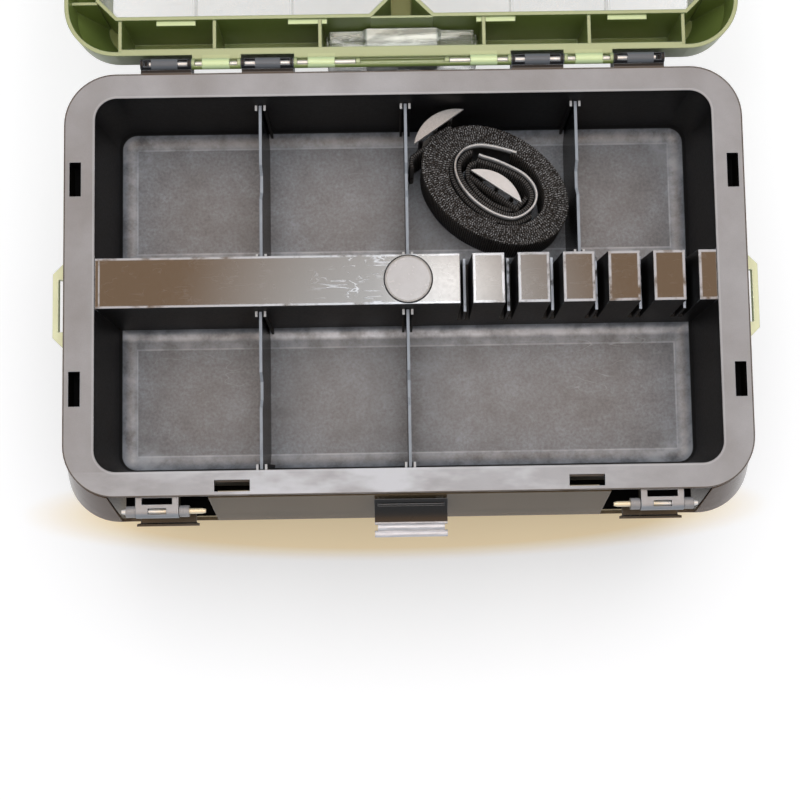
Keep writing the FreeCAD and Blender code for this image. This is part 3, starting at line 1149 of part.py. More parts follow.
def main():
    os.makedirs("parts", exist_ok=True)
    export("storage_bin", make_bin())
    export("beam_plug", make_plug())
    export("cabinet_shell", make_case())
    jamb = make_jamb()
    export("side_jamb_right", jamb)
    export("side_jamb_left", mirror_x(jamb))
    for i, x in enumerate(REAR_DIV_X):
        export("divider_rear_%d" % (i + 1), make_divider(x, 1))
    for i, x in enumerate(FRONT_DIV_X):
        export("divider_front_%d" % (i + 1), make_divider(x, -1))
    for k in range(BOX_COUNT):
        export("utility_box_%d" % (k + 1), make_box(k))
        export("utility_lid_%d" % (k + 1), make_box_lid(k))
        runner = make_runner(k)
        export("runner_right_%d" % (k + 1), runner)
        export("runner_left_%d" % (k + 1), mirror_x(runner))
    loop = make_loop()
    export("strap_loop_right", loop)
    export("strap_loop_left", mirror_x(loop))
    export("front_door", make_door())
    pin = make_door_pin()
    export("door_pin_right", pin)
    export("door_pin_left", mirror_x(pin))
    export("door_pull", make_pull())
    export("pull_pin", make_pull_pin())
    lid = make_lid()
    export("lid_shell", lay_open(lid))
    export("carry_handle", lay_open(make_handle()))
    for side, word in ((-1, "left"), (1, "right")):
        export("latch_bracket_" + word, make_bracket(side * LATCH_X))
        export("latch_rod_" + word, make_latch_rod(side))
        export("latch_lever_" + word, make_lever(side))
        export("hinge_rod_" + word, make_hinge_rod(side))
        export("lid_tray_" + word, lay_open(make_tray(side)))
        export("lid_window_" + word, lay_open(make_window(side)))
        export("window_pin_" + word, lay_open(make_window_pin(side)))
        export("handle_pin_" + word, lay_open(make_handle_pin(side)))
    export("strap_coil", make_coil())
    export("pad_strip", make_strip())
    export("buckle_outer", make_buckle(OUT_BUCKLE_X, OUT_BUCKLE_Y, OUT_BUCKLE_ANGLE, OUT_BUCKLE_LIFT))
    export("buckle_inner", make_buckle(IN_BUCKLE_X, IN_BUCKLE_Y, IN_BUCKLE_ANGLE, IN_BUCKLE_LIFT))
    print("%d nodes" % len(EXPORTED))


main()
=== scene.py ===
# Looks of a fishing tackle cabinet seen from above, with its lid laid open to the rear.
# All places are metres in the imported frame: X to the right, Y to the rear, Z up.
import math

import bpy
from bpy.props import FloatProperty, FloatVectorProperty, PointerProperty
from mathutils import Euler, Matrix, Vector, noise


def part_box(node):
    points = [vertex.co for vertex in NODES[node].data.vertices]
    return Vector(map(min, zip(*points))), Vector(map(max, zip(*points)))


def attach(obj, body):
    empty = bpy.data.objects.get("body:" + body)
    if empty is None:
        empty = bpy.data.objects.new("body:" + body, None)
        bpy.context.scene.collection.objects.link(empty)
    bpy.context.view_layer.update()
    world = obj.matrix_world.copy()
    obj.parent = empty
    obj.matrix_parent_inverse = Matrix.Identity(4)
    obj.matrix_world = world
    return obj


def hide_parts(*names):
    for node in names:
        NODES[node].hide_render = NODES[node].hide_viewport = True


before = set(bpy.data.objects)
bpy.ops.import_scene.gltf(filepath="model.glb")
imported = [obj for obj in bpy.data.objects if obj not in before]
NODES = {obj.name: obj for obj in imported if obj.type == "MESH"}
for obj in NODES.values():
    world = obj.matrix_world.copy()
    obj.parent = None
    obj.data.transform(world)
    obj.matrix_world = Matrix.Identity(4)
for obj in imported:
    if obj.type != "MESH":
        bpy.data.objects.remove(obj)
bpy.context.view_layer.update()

bl_info = {
    "name": "Tackle cabinet looks",
    "version": (1, 0, 0),
    "blender": (4, 5, 0),
    "location": "3D View > Sidebar > Tackle",
    "description": "Finishes, rolled shoulder strap, lights and camera of a fishing tackle cabinet",
    "category": "Object",
}

# Places on the bin that its finish needs, repeated from the part
RIM_TOP = 0.270
RIM_X, RIM_Y, RIM_CORNER = 0.250, 0.156, 0.038
OPENING_X, OPENING_Y, OPENING_CORNER = 0.2273, 0.1377, 0.016
LUG_START, NOSE_START = 0.1565, -0.1563                 # what sticks out past the rim, rear and front
FRONT_WALL = -0.12
LUG_BRIDGES = ((0.0996, 0.0092), (0.1759, 0.0097))      # middles and half lengths
FLOOR_TOP, FLOOR_FILLET, FLOOR_HEM = 0.183, 0.0058, 0.0150
GUIDE_TOP = 0.251
BEAM_HALF, BEAM_TOP, BEAM_SPREAD = 0.0186, 0.2684, 0.0046
COMB_START, WEB_TOP = 0.0394, 0.239
BLOCK_START, BLOCK_PITCH, BLOCK_LONG = 0.0488, 0.0331, 0.0232
SIDE_SLOT, SIDE_SLOT_HALF = (0.2416, 0.0773), (0.0048, 0.0133)
SLOT_DEPTH, SLOT_MOUTH, SLOT_WALL = 0.018, 0.0045, 0.0012

# Stretches given by middle, half length and softness: along X, and for the glare away from the beam
BEAM_SCRAPED, RIM_FRONT_HIGHLIGHT, FLOOR_BRIGHT = (-0.034, 0.026, 0.014), (-0.03, 0.16, 0.11), (-0.02, 0.05, 0.08)
FLOOR_GLARE = (0.0050, 0.0028, 0.0020)
LID_WEDGE = (0.217, 0.011, 0.003)

# Places on the smaller parts
PLUG_X, PLUG_LIP, PLUG_RINGS = 0.0015, 0.0158, 9000.0
DIVIDER_EDGE = 0.240
DOOR_SIDE, DOOR_SIDE_SOFT = 0.205, 0.040
PULL_BARS, PULL_BAR_RADIUS = ((-0.1802, 0.2528), (-0.1852, 0.2496)), 0.0036
LATCH_X, BARREL_LOW, BARREL_RINGS = 0.1823, 0.2575, 5200.0
SHELF_X, SHELF_WALL = (0.1472, 0.2175), 0.0012
SHELF_LINE = ((-0.1690, 0.2025), (-0.1688, 0.2008), (-0.1500, 0.2002))
SHELF_BACK, SHELF_HEIGHTS = 0.0112, (0.2040, 0.2540)

# Places on the lid; its long trough lies beside the hinge
LID_STRIP_FRONT, LID_STRIP_REAR = 0.1765, 0.200
LID_DECK, LID_DECK_SHADE, TAB_TOP, FRAME_TOP = 0.2108, 0.2125, 0.2595, 0.262
LID_BAND, LID_WEDGE_REAR, LID_WEDGE_TOP = 0.0145, 0.189, 0.240
LEAF_BRIDGES = ((0.1379, 0.0102), (0.0600, 0.0100))
CROSS_WALL_HALF, CROSS_WALL_THICK = 0.0236, 0.0020
COVER_FOOT, COVER_HIGH, COVER_WALL, COVER_HALF = 0.0012, 0.0330, 0.0014, 0.0275
COVER_ROWS = ((0.1752, 0.0), (0.1762, 0.7), (0.1800, 0.97), (0.1868, 0.84), (0.1935, 0.92),
              (0.1972, 0.98), (0.1985, 0.90))
COVER_COLUMNS = ((-0.0575, 0.45), (-0.0545, 0.80), (-0.0300, 0.82), (-0.0262, 1.0), (0.0262, 1.0),
                 (0.0300, 0.82), (0.0545, 0.80), (0.0575, 0.45))

# The rolled strap: its oval, how far the turns close up, its weave, and the lines of its parts, in
# millimetres, chosen along their upper edges
STRAP_MIDDLE, STRAP_TILT, STRAP_FOOT = Vector((0.070, 0.0787)), math.radians(-32.0), 0.1834
ROLL_SHRINK, ROLL_START, ROLL_STEPS = (0.00285, 0.00182), 150.0, 120
ROLL_EDGE, ROLL_STEP, ROLL_OVAL, ROLL_FILL = 0.00135, 0.0011, 2.1, 0.93
LINE_STEP = 0.0010
STRIP_WIDTH, STRIP_THICK, PALE_HEIGHT, OUTER_BUCKLE = 0.0505, 0.0017, 0.046, 0.048
PICK_PITCH, WEB_EDGE = 0.0011, 0.0012
STRIP_LINE = ((86.5, 103.0), (77.0, 106.0), (65.5, 108.8), (56.0, 109.4), (46.6, 106.4), (40.4, 99.0),
              (39.4, 90.6), (42.2, 81.5), (47.7, 72.8), (55.9, 64.4), (65.8, 57.6), (75.7, 53.4),
              (84.0, 52.4), (92.2, 55.8), (98.2, 61.5), (100.8, 68.3), (100.0, 75.0), (96.2, 81.6),
              (89.8, 87.6), (80.0, 93.0), (70.1, 97.5), (61.7, 100.3), (57.5, 102.0))
TAIL_LINE = ((6.4, 92.5), (5.6, 97.5), (8.2, 102.4), (18.2, 108.9), (28.6, 115.6), (36.0, 120.5))
CHORD_LINE = ((50.5, 86.2), (60.0, 79.0), (70.0, 71.7), (80.0, 64.4), (87.0, 59.4))
CORE_LINE = ((94.0, 70.0), (90.0, 65.5), (82.0, 60.5), (72.0, 63.0), (62.0, 69.5), (54.0, 78.0),
             (49.5, 87.0), (50.5, 95.0), (56.0, 98.0))

# Section of an upright band: side in thicknesses, share of the height, drop of the rounded edge;
# and how fast its upper edge waves along its length
BAND_ROWS = ((-0.5, 0.0, 0), (-0.5, 0.25, 0), (-0.5, 0.5, 0), (-0.5, 0.75, 0), (-0.5, 1.0, -0.6),
             (-0.36, 1.0, -0.12), (0.0, 1.0, 0.0), (0.36, 1.0, -0.12), (0.5, 1.0, -0.6),
             (0.5, 0.75, 0), (0.5, 0.5, 0), (0.5, 0.25, 0), (0.5, 0.0, 0), (0.0, 0.0, 0))
BAND_WAVE = 22.0

# Bright places on the card and the painted warm shadow on the floor, with their half sizes
CARD_PATCH_AT, CARD_PATCH_SIZE, CARD_WHITE = (0.0, 0.05), (0.37, 0.50), (0.960, 0.985, 1.0)
CARD_SPOT_AT, CARD_SPOT_SIZE = (0.090, 0.215), (0.12, 0.11)
CARD_AREA, FLOOR_AREA = (-1.6, 1.6, -1.2, 1.9), (-6.0, 6.0, -6.0, 6.0)
FLOOR_SHADOW_AT, FLOOR_SHADOW_SIZE, FLOOR_SHADOW_STEEP = (-0.01, -0.165), (0.345, 0.047), 4.0
LAMP_AT, LAMP_AIM, LAMP_TINT = Vector((0.05, 0.30, 2.0)), Vector((0.0, 0.05, 0.2)), (0.99, 0.99, 1.0)
CAMERA_AT, CAMERA_TURN, CAMERA_SENSOR = (-0.0115, -0.176, 1.2269), (5.207, -0.241, -0.944), 36.0
CAMERA_REACH = (0.05, 30.0)

# Usual softness of an edge between two finishes, a pattern without stretching, and white
SOFT = 0.0004
EVEN = (1.0, 1.0, 1.0)
WHITE = (1.0, 1.0, 1.0)


def colour(name, text, default):
    """Property for a colour, in linear values."""
    return FloatVectorProperty(name=name, description=text, default=default, min=0.0, max=1.0, size=3,
                               subtype="COLOR")


def length(name, text, default):
    """Property for a length in metres."""
    return FloatProperty(name=name, description=text, default=default, min=0.0, unit="LENGTH",
                         subtype="DISTANCE", precision=4)


def share(name, text, default, top=1.0):
    """Property for a plain number from zero up."""
    return FloatProperty(name=name, description=text, default=default, min=0.0, max=top)


class TackleStage(bpy.types.PropertyGroup):
    """Light, floor and camera."""
    lamp_power: FloatProperty(name="Lamp power", description="Power of the soft lamp overhead",
                              default=20.0, min=0.0, subtype="POWER")
    lamp_size: length("Lamp size", "Side of the square lamp", 1.3)
    fill: share("Fill", "Strength of the soft light from all round", 0.55, 5.0)
    fill_colour: colour("Fill colour", "Tint of the soft light", (0.985, 0.985, 1.0))
    floor_colour: colour("Floor colour", "Colour of the pale floor", (0.86, 0.86, 0.86))
    # Colour of the painted warm shadow on the floor before the door
    floor_warm_shadow: colour("Floor warmth", "Floor's colour in the tinted light before the door",
                       (0.80, 0.66, 0.44))
    floor_lift: share("Floor lift", "Whiteness that the floor shows to the camera beside its shading", 0.35)
    card_height: length("Card height", "Height of the card that glossy plastic mirrors", 1.47)
    card_glow: share("Card glow", "Brightness of the card's patch as it is mirrored", 12.5, 50.0)
    card_spot: share("Card spot", "How much brighter the small spot in the patch is", 1.8, 5.0)
    card_colour: colour("Card colour", "Brown of the card away from its patch", (0.285, 0.183, 0.108))
    lens: FloatProperty(name="Lens", description="Focal length in millimetres", default=59.8, min=1.0)


class TacklePlastics(bpy.types.PropertyGroup):
    """Colours of the moulded parts."""
    black: colour("Black", "Bin, case and handle", (0.0060, 0.0066, 0.0078))
    # Rim grey: partly a painted sheen of the overhead light on black plastic, over a real grain
    rim: colour("Rim", "Grained top face of the rim", (0.190, 0.206, 0.230))
    # Floor grey: partly a painted sheen of the overhead light on black plastic, with real scuffs
    floor: colour("Bin floor", "Scuffed floor of the bin", (0.106, 0.121, 0.143))
    # Pale of real scratches and worn edges, also used for painted highlights
    scuff_and_highlight: colour("Scuff", "Whitened scratches and corners", (0.385, 0.415, 0.460))
    green: colour("Green", "Lid", (0.150, 0.205, 0.052))
    # Lid's paler green: partly painted light, the glow through the thin translucent rim and its sheen
    green_edge: colour("Green edge", "Edges, tabs and rim of the lid", (0.246, 0.310, 0.168))
    loop: colour("Loop green", "Strap loops", (0.62, 0.68, 0.44))
    clear: colour("Clear", "Clear plates, boxes and windows", (0.86, 0.88, 0.88))
    smoke: colour("Smoke", "Front door", (0.117, 0.082, 0.046))
    smoke_cover: share("Smoke cover", "How much the door hides what is behind it", 0.86)
    clear_cover: share("Clear cover", "How much a clear wall hides what is behind it", 0.05)


class TackleStrap(bpy.types.PropertyGroup):
    """The rolled shoulder strap."""
    turns: share("Turns", "Turns of the rolled webbing", 7.4, 20.0)
    half_long: length("Half length", "Outer half length of the oval roll", 0.0610)
    half_wide: length("Half width", "Outer half width of the oval roll", 0.0416)
    webbing: length("Webbing thickness", "Thickness of the webbing", 0.00165)
    web_width: length("Webbing width", "Width of the webbing, its height in the roll", 0.050)
    rib_pitch: length("Rib pitch", "Distance between two ribs of the weave", 0.00175)
    web_colour: colour("Webbing colour", "Black polyester", (0.0055, 0.0058, 0.0062))
    fleck_colour: colour("Fleck colour", "Grey yarn ends that catch the light", (0.34, 0.34, 0.345))
    strip_colour: colour("Strip colour", "Pale plastic strip and buckles", (0.40, 0.40, 0.405))


class TackleMetal(bpy.types.PropertyGroup):
    """Rods and pins."""
    steel: colour("Steel", "Hinge rods and pins", (0.66, 0.66, 0.65))
    brass: colour("Brass", "Warm end of the latch rods", (0.66, 0.58, 0.42))
    roughness: share("Roughness", "Roughness of the drawn steel", 0.30)


class Nodes:
    """The node tree of a material or world in the making, with short calls that add and join nodes."""

    def __init__(self, owner):
        owner.use_nodes = True
        self.tree = owner.node_tree
        self.tree.nodes.clear()

    def add(self, kind, sockets=(), **settings):
        """New node with its settings made and the sockets given fed."""
        node = self.tree.nodes.new("ShaderNode" + kind)
        for name, value in settings.items():
            setattr(node, name, value)
        for name, value in dict(sockets).items():
            self.feed(node.inputs[name], value)
        return node

    def feed(self, target, value):
        """Sets a number or colour on a socket, or joins a node's output to it."""
        if isinstance(value, bpy.types.NodeSocket):
            self.tree.links.new(value, target)
        elif target.type == "RGBA":
            target.default_value = (*value, 1.0)
        else:
            target.default_value = value

    def shader(self, kind, **sockets):
        """First output of a new node with the sockets named fed."""
        return self.add(kind, sockets).outputs[0]

    def join(self, kind, *values, **settings):
        """First output of a new node with its inputs fed in order."""
        return self.add(kind, enumerate(values), **settings).outputs[0]

    def math(self, operation, *values, clamp=False):
        return self.join("Math", *values, operation=operation, use_clamp=clamp)

    def fold(self, operation, values):
        out = values[0]
        for value in values[1:]:
            out = self.math(operation, out, value)
        return out

    def times(self, *values):
        return self.fold("MULTIPLY", values)

    def plus(self, *values):
        return self.fold("ADD", values)

    def most(self, *values):
        return self.fold("MAXIMUM", values)

    def less(self, a, b):
        return self.math("SUBTRACT", a, b)

    def size_of(self, value):
        return self.math("ABSOLUTE", value)

    def ranged(self, low, amount, spread):
        """A value from low upwards by a share of an amount."""
        return self.plus(low, self.times(amount, spread))

    def mix(self, amount, a, b):
        return self.add("Mix", {"Factor": amount, 6: a, 7: b}, data_type="RGBA").outputs[2]

    def seen_directly(self):
        """1 for camera, mirror and see-through rays."""
        path = self.add("LightPath").outputs
        return self.most(path["Is Camera Ray"], path["Is Glossy Ray"], path["Is Transmission Ray"])

    def ball(self, middle, size):
        """1 at a place on the floor or card, falling evenly to 0 at the half sizes given."""
        shift = self.shader("Mapping", Vector=self.add("TexCoord").outputs["Object"],
                            Location=(-middle[0] / size[0], -middle[1] / size[1], 0.0),
                            Scale=(1.0 / size[0], 1.0 / size[1], 0.0))
        return self.add("TexGradient", {"Vector": shift}, gradient_type="SPHERICAL").outputs["Fac"]


class Finish(Nodes):
    """The surface of a moulded, drawn or woven part."""

    def __init__(self, name, tint, roughness, radius=0.0, metallic=0.0, specular=0.5, cover=1.0, sheen=0.0):
        self.material = bpy.data.materials.new(name)
        super().__init__(self.material)
        self.skin = self.add("BsdfPrincipled", {
            "Base Color": tint, "Roughness": roughness, "Metallic": metallic, "Alpha": cover,
            "Specular IOR Level": specular, "Sheen Weight": sheen})
        self.add("OutputMaterial", {"Surface": self.skin.outputs["BSDF"]})
        coords = self.add("TexCoord").outputs
        self.place, self.length_map = coords["Object"], coords["UV"]
        self.x, self.y, self.z = self.split(self.place)
        self.out_x, self.out_y = self.size_of(self.x), self.size_of(self.y)
        self.facing = self.split(coords["Normal"])
        self.tint = tint
        self.smooth, self.edge = self.rounded(radius) if radius else (None, None)

    def put(self, socket, value):
        self.feed(self.skin.inputs[socket], value)

    def split(self, vector):
        return self.add("SeparateXYZ", {0: vector}).outputs

    def rise(self, value, low, high):
        """0 below low, 1 above high, smooth between; low may be the larger one."""
        ends = {"Value": value, "From Min": low, "From Max": high}
        return self.add("MapRange", ends, interpolation_type="SMOOTHSTEP").outputs["Result"]

    def above(self, value, edge, soft=SOFT):
        return self.rise(value, edge - soft, edge + soft)

    def below(self, value, edge, soft=SOFT):
        return self.rise(value, edge + soft, edge - soft)

    def upward(self, slope, soft):
        """1 on faces that look up more than a slope."""
        return self.above(self.facing["Z"], slope, soft)

    def near(self, value, middle, half, soft=SOFT):
        """1 where value is within half of middle."""
        return self.below(self.size_of(self.less(value, middle)), half, soft)

    def either_side(self, pairs):
        """1 on stretches along X, given by middle and half length, on both sides of the middle."""
        return self.most(*[self.near(self.out_x, *pair) for pair in pairs])

    def far(self, a, b):
        """Length of a slanted line from its two sides."""
        return self.math("SQRT", self.plus(self.times(a, a), self.times(b, b)))

    def past_outline(self, half_x, half_y, radius):
        """Distance past a rectangle with rounded corners round the origin, below zero inside it."""
        qx = self.less(self.out_x, half_x - radius)
        qy = self.less(self.out_y, half_y - radius)
        far = self.far(self.most(qx, 0.0), self.most(qy, 0.0))
        return self.less(self.plus(far, self.math("MINIMUM", self.most(qx, qy), 0.0)), radius)

    def tinted(self, base, amount, spread):
        """Colour made lighter and darker by a noise around its middle."""
        gain = self.plus(self.times(self.less(amount, 0.5), 2.0 * spread), 1.0)
        return self.shader("HueSaturation", Value=gain, Color=base)

    def vary(self, amount, spread):
        self.tint = self.tinted(self.tint, amount, spread)

    def paint(self, over, *masks):
        """Lays a colour over the tint, as far as the masks and shares reach together."""
        self.tint = self.mix(self.times(*masks), self.tint, over)

    def hide(self, cover, more):
        """How much the piece hides: a cover everywhere, and more in places."""
        self.put("Alpha", self.math("ADD", cover, more, clamp=True))

    def stretched(self, across=EVEN, offset=(0.0, 0.0, 0.0)):
        return self.shader("Mapping", Vector=self.place, Scale=across, Location=offset)

    def cloud(self, scale, detail=3.0, roughness=0.55, across=EVEN, offset=(0.0, 0.0, 0.0)):
        """Noise from 0 to 1 with cells of about one part in scale of a metre."""
        return self.shader("TexNoise", Vector=self.stretched(across, offset), Scale=scale, Detail=detail,
                           Roughness=roughness)

    def cells(self, scale):
        return self.shader("TexVoronoi", Vector=self.stretched(), Scale=scale)

    def scratches(self, scale, across, keep, offset=(0.0, 0.0, 0.0)):
        """Thin lines: the narrow level sets of a stretched noise."""
        line = self.size_of(self.less(self.cloud(scale, 2.0, 0.5, across, offset), 0.5))
        broken = self.rise(self.cloud(scale * 0.35, 2.0, 0.5, offset=offset), 0.5, 0.62)
        return self.times(self.rise(line, keep, 0.0), broken)

    def rounded(self, radius):
        """Normal with its edges rounded, and a mask that is 1 on those edges."""
        soft = self.add("Bevel", {"Radius": radius}, samples=4).outputs[0]
        flat = self.add("NewGeometry").outputs["Normal"]
        dot = self.add("VectorMath", {0: soft, 1: flat}, operation="DOT_PRODUCT")
        return soft, self.rise(dot.outputs["Value"], 0.995, 0.93)

    def bump(self, height, distance, strength, normal):
        base = {} if normal is None else {"Normal": normal}
        return self.shader("Bump", Height=height, Distance=distance, Strength=strength, **base)

    def close(self, rough, relief):
        """Joins the tint, roughness as low, noise and spread, and relief as height, depth and strength."""
        self.put("Base Color", self.tint)
        self.put("Roughness", self.ranged(*rough))
        self.put("Normal", self.bump(*relief, self.smooth))
        return self

    def dress(self, *names):
        """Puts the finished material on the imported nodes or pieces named."""
        for name in names:
            owner = NODES.get(name) or bpy.data.objects[name]
            owner.data.materials.clear()
            owner.data.materials.append(self.material)


def shade(tint, factor):
    """Colour made lighter or darker by a factor."""
    return tuple(c * factor for c in tint)


# Finishes of the moulded parts

def rim_grain_and_sheen(f, v, past_opening, patches, grain):
    """Grey of the rim's top face, partly a painted sheen, with sink marks; its pale lip and lighter front
    are painted highlights.
    """
    f.tint = v.rim
    f.vary(f.plus(f.times(f.cloud(11.0, 2.0, 0.5), 0.5), f.times(patches, 0.5)), 0.50)
    f.vary(f.cloud(26.0, 1.0, 0.4, across=(1.0, 0.12, 0.12), offset=(0.2, 0.0, 0.0)), 0.26)
    f.vary(grain, 0.16)
    # Pale line along the opening's lip: painted highlight
    f.paint(v.scuff_and_highlight, f.near(past_opening, 0.0011, 0.0005), 0.35)
    # Lighter streaky front of the rim: painted highlight where the light near the camera mirrors in it
    streaks = f.rise(f.cloud(14.0, 4.0, 0.6, across=(1.0, 2.5, 1.0), offset=(0.6, 0.3, 0.0)), 0.38, 0.62)
    f.paint(v.scuff_and_highlight, f.below(f.y, -OPENING_Y), f.near(f.x, *RIM_FRONT_HIGHLIGHT), f.plus(0.30, streaks), 0.80)
    return f.tint


def floor_scuffs_and_sheen(f, v, past_opening, patches, fine):
    """Grey of the bin's floors, partly a painted sheen: lighter corners, and painted highlights on the
    borders and hem line and glare before the beam.
    """
    f.tint = v.floor
    f.vary(patches, 0.60)
    f.vary(f.cloud(95.0, 4.0, 0.65, offset=(0.0, 0.7, 0.0)), 0.40)
    f.vary(fine, 0.75)
    gap_beam = f.less(f.out_y, BEAM_HALF + BEAM_SPREAD)
    gap_wall = f.math("MINIMUM", f.times(past_opening, -1.0), gap_beam)
    gap_corner = f.plus(f.less(OPENING_X, f.out_x), f.less(OPENING_Y, f.out_y))
    # Patchy noise that breaks up the floor's painted highlights and lighter corners
    worn = f.rise(f.cloud(60.0, 4.0, 0.6), 0.30, 0.70)
    # Lighter border along the walls and the beam: painted highlight where the floor fillets catch the light
    f.paint(v.scuff_and_highlight, f.below(gap_wall, FLOOR_HEM, 0.0010), worn, 0.42)
    f.paint(v.scuff_and_highlight, f.below(gap_corner, 0.050, 0.020), worn, 0.50)
    foot = f.times(f.below(f.y, -BEAM_HALF), f.near(gap_beam, *FLOOR_GLARE), f.plus(0.4, worn),
                   f.ranged(0.40, f.near(f.x, *FLOOR_BRIGHT), 0.60))
    f.paint((0.90, 0.93, 1.0), f.math("MULTIPLY", foot, 0.9, clamp=True))
    # Pale hem line where the fillet meets the floor: painted highlight
    f.paint(v.scuff_and_highlight, f.near(gap_wall, FLOOR_HEM, 0.0005, 0.0006), f.ranged(0.25, worn, 0.55))
    return f.tint


def beam_edge_highlights(f, comb):
    """Painted highlights along the edges of the beam and round each block of the comb."""
    block_x = f.math("MODULO", f.less(f.x, BLOCK_START), BLOCK_PITCH)
    ends = f.near(f.size_of(f.less(block_x, BLOCK_LONG / 2)), BLOCK_LONG / 2 - 0.0011, 0.0009)
    thin = f.most(f.near(f.out_y, BEAM_HALF - 0.0009, 0.0008),
                  f.near(f.x, 0.0030 - OPENING_X, 0.0005))
    wide = f.times(comb, f.near(f.out_y, BEAM_HALF - 0.0011, 0.0009))
    return f.times(f.most(f.times(comb, ends), f.most(thin, wide)), f.rise(f.cloud(70.0), 0.30, 0.52))


def beam_scratches(f):
    """Short scratches in two directions, and where they are: most lie beside the plug."""
    nicks = f.most(f.scratches(170.0, (0.12, 1.0, 1.0), 0.030, offset=(0.3, 0.2, 0.0)),
                   f.scratches(230.0, (0.3, 0.6, 1.0), 0.030, offset=(0.9, 0.4, 0.0)))
    return nicks, f.plus(0.05, f.near(f.x, *BEAM_SCRAPED))


def plug_gap_shade(f, beam):
    """Ring round the plug in the beam where the gap's shade is painted dark."""
    low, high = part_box("beam_plug")
    reach = f.far(f.less(f.x, (low[0] + high[0]) / 2), f.less(f.y, (low[1] + high[1]) / 2))
    return f.times(beam, f.near(reach, (high[0] - low[0]) / 2 + 0.0002, 0.0007, 0.0002))


def bin_finish(v):
    """Black moulding: grained rim and scuffed floors, partly painted sheen; polished beam and comb; dark
    walls; painted highlights and shade.
    """
    f = Finish("black_moulding", v.black, 0.42, 0.0008, specular=0.6)
    up = f.upward(0.6, 0.2)
    past_opening = f.past_outline(OPENING_X, OPENING_Y, OPENING_CORNER)
    past_rim = f.past_outline(RIM_X, RIM_Y, RIM_CORNER)
    inside = f.below(past_opening, 0.0)
    outside = f.less(1.0, inside)
    high = f.above(f.z, RIM_TOP - 0.003)
    not_lug, not_nose = f.below(f.y, LUG_START), f.above(f.y, NOSE_START)
    beam = f.times(f.above(f.z, BEAM_TOP - 0.0006), f.below(f.out_y, BEAM_HALF + 0.0012), inside)
    beam_top = f.times(beam, up)
    comb = f.above(f.x, COMB_START)
    floor = f.times(f.below(f.z, FLOOR_TOP + FLOOR_FILLET, 0.0005), f.upward(0.2, 0.1))
    lug = f.times(f.above(f.y, LUG_START), f.above(f.z, RIM_TOP + 0.0005))
    patches = f.cloud(34.0, 4.0, 0.6, offset=(0.4, 0.1, 0.0))
    grain, fine = f.cloud(1500.0, 2.0, 0.6), f.cloud(420.0, 3.0, 0.65)
    rim_tint = rim_grain_and_sheen(f, v, past_opening, patches, grain)
    floor_tint = floor_scuffs_and_sheen(f, v, past_opening, patches, fine)

    f.tint = v.black
    # Floors' grey: scuffs and a painted sheen of the overhead light
    f.paint(floor_tint, floor)
    # Rim's grey top: grain and a painted sheen of the overhead light
    f.paint(rim_tint, f.times(high, up, outside, not_lug, not_nose))
    f.paint(shade(v.black, 1.4), beam_top)
    f.paint(v.scuff_and_highlight, beam_top, *beam_scratches(f), 0.8)
    # Pale lines on the beam's and comb's edges: painted highlights
    f.paint(v.scuff_and_highlight, f.times(beam_top, beam_edge_highlights(f, comb)), 0.85)
    # Pale tops of the comb's webs: painted highlight
    web = f.times(f.near(f.z, WEB_TOP, 0.0007), comb, inside, f.upward(0.3, 0.1))
    f.paint(shade(v.scuff_and_highlight, 1.5), web, f.rise(f.cloud(90.0), 0.30, 0.50))
    # Dark ring round the plug, also without gloss: painted shade in the gap
    ring = plug_gap_shade(f, beam)
    f.paint(shade(v.black, 0.5), ring)
    f.paint(shade(v.black, 2.0), lug)
    # Grey on the hinge lugs' bridges: painted highlight
    f.paint(shade(v.rim, 0.6), lug, f.either_side(LUG_BRIDGES))
    f.paint(v.black, high, f.above(past_rim, -0.0010, 0.0003), not_lug)
    # Pale tops of the divider guides: painted highlights
    f.paint((0.55, 0.55, 0.55), f.near(f.z, GUIDE_TOP, 0.0007), up, inside)
    # Rim slots and the faces behind the front wall, near-black and without gloss: painted shade
    slot = f.times(outside, f.below(past_rim, -0.0025, 0.0002), f.less(1.0, up), not_lug, not_nose)
    behind = f.times(f.below(f.y, FRONT_WALL), f.below(f.facing["Y"], -0.5, 0.1),
                     f.below(f.z, RIM_TOP - 0.004))
    slot = f.most(slot, behind)
    f.paint((0.0015, 0.0015, 0.0015), slot)
    wear = f.times(f.edge, f.rise(f.cloud(55.0), 0.25, 0.65))
    f.paint(v.scuff_and_highlight, wear, f.above(f.z, RIM_TOP - 0.012), 0.6)
    f.paint(v.scuff_and_highlight, floor, f.scratches(16.0, (1.0, 3.0, 1.0), 0.004), 0.4)
    f.put("Base Color", f.tint)

    gloss = f.less(f.ranged(0.40, fine, 0.16), f.times(beam, 0.38))
    f.put("Roughness", f.math("SUBTRACT", gloss, f.times(lug, 0.26), clamp=True))
    shine = f.most(f.times(f.most(f.times(high, up, not_lug), floor), 0.30), f.times(beam, 0.42))
    f.put("Specular IOR Level", f.times(f.plus(0.13, shine), f.less(1.0, f.most(slot, ring))))
    relief = f.times(f.plus(f.times(grain, 0.35), f.times(fine, 0.65)), f.less(1.0, f.times(beam, 0.97)))
    f.put("Normal", f.bump(relief, 0.00018, 0.6, f.smooth))
    return f


def bracket_finish(v):
    """Latch brackets: the rim's grained grey on their upward faces, partly painted sheen, and black on all
    other faces.
    """
    f = Finish("bracket_sheen_grey", v.rim, 0.36, 0.0006, specular=0.6)
    fine = f.cloud(600.0)
    f.tint = f.tinted(shade(v.rim, 1.1), f.cloud(70.0), 0.35)
    f.paint(v.scuff_and_highlight, f.edge, 0.5)
    # Upward faces take the grey and the rest stays black: the grey tops are partly a painted sheen
    f.tint = f.mix(f.upward(0.15, 0.12), v.black, f.tint)
    return f.close((0.24, fine, 0.16), (fine, 0.00012, 0.5))


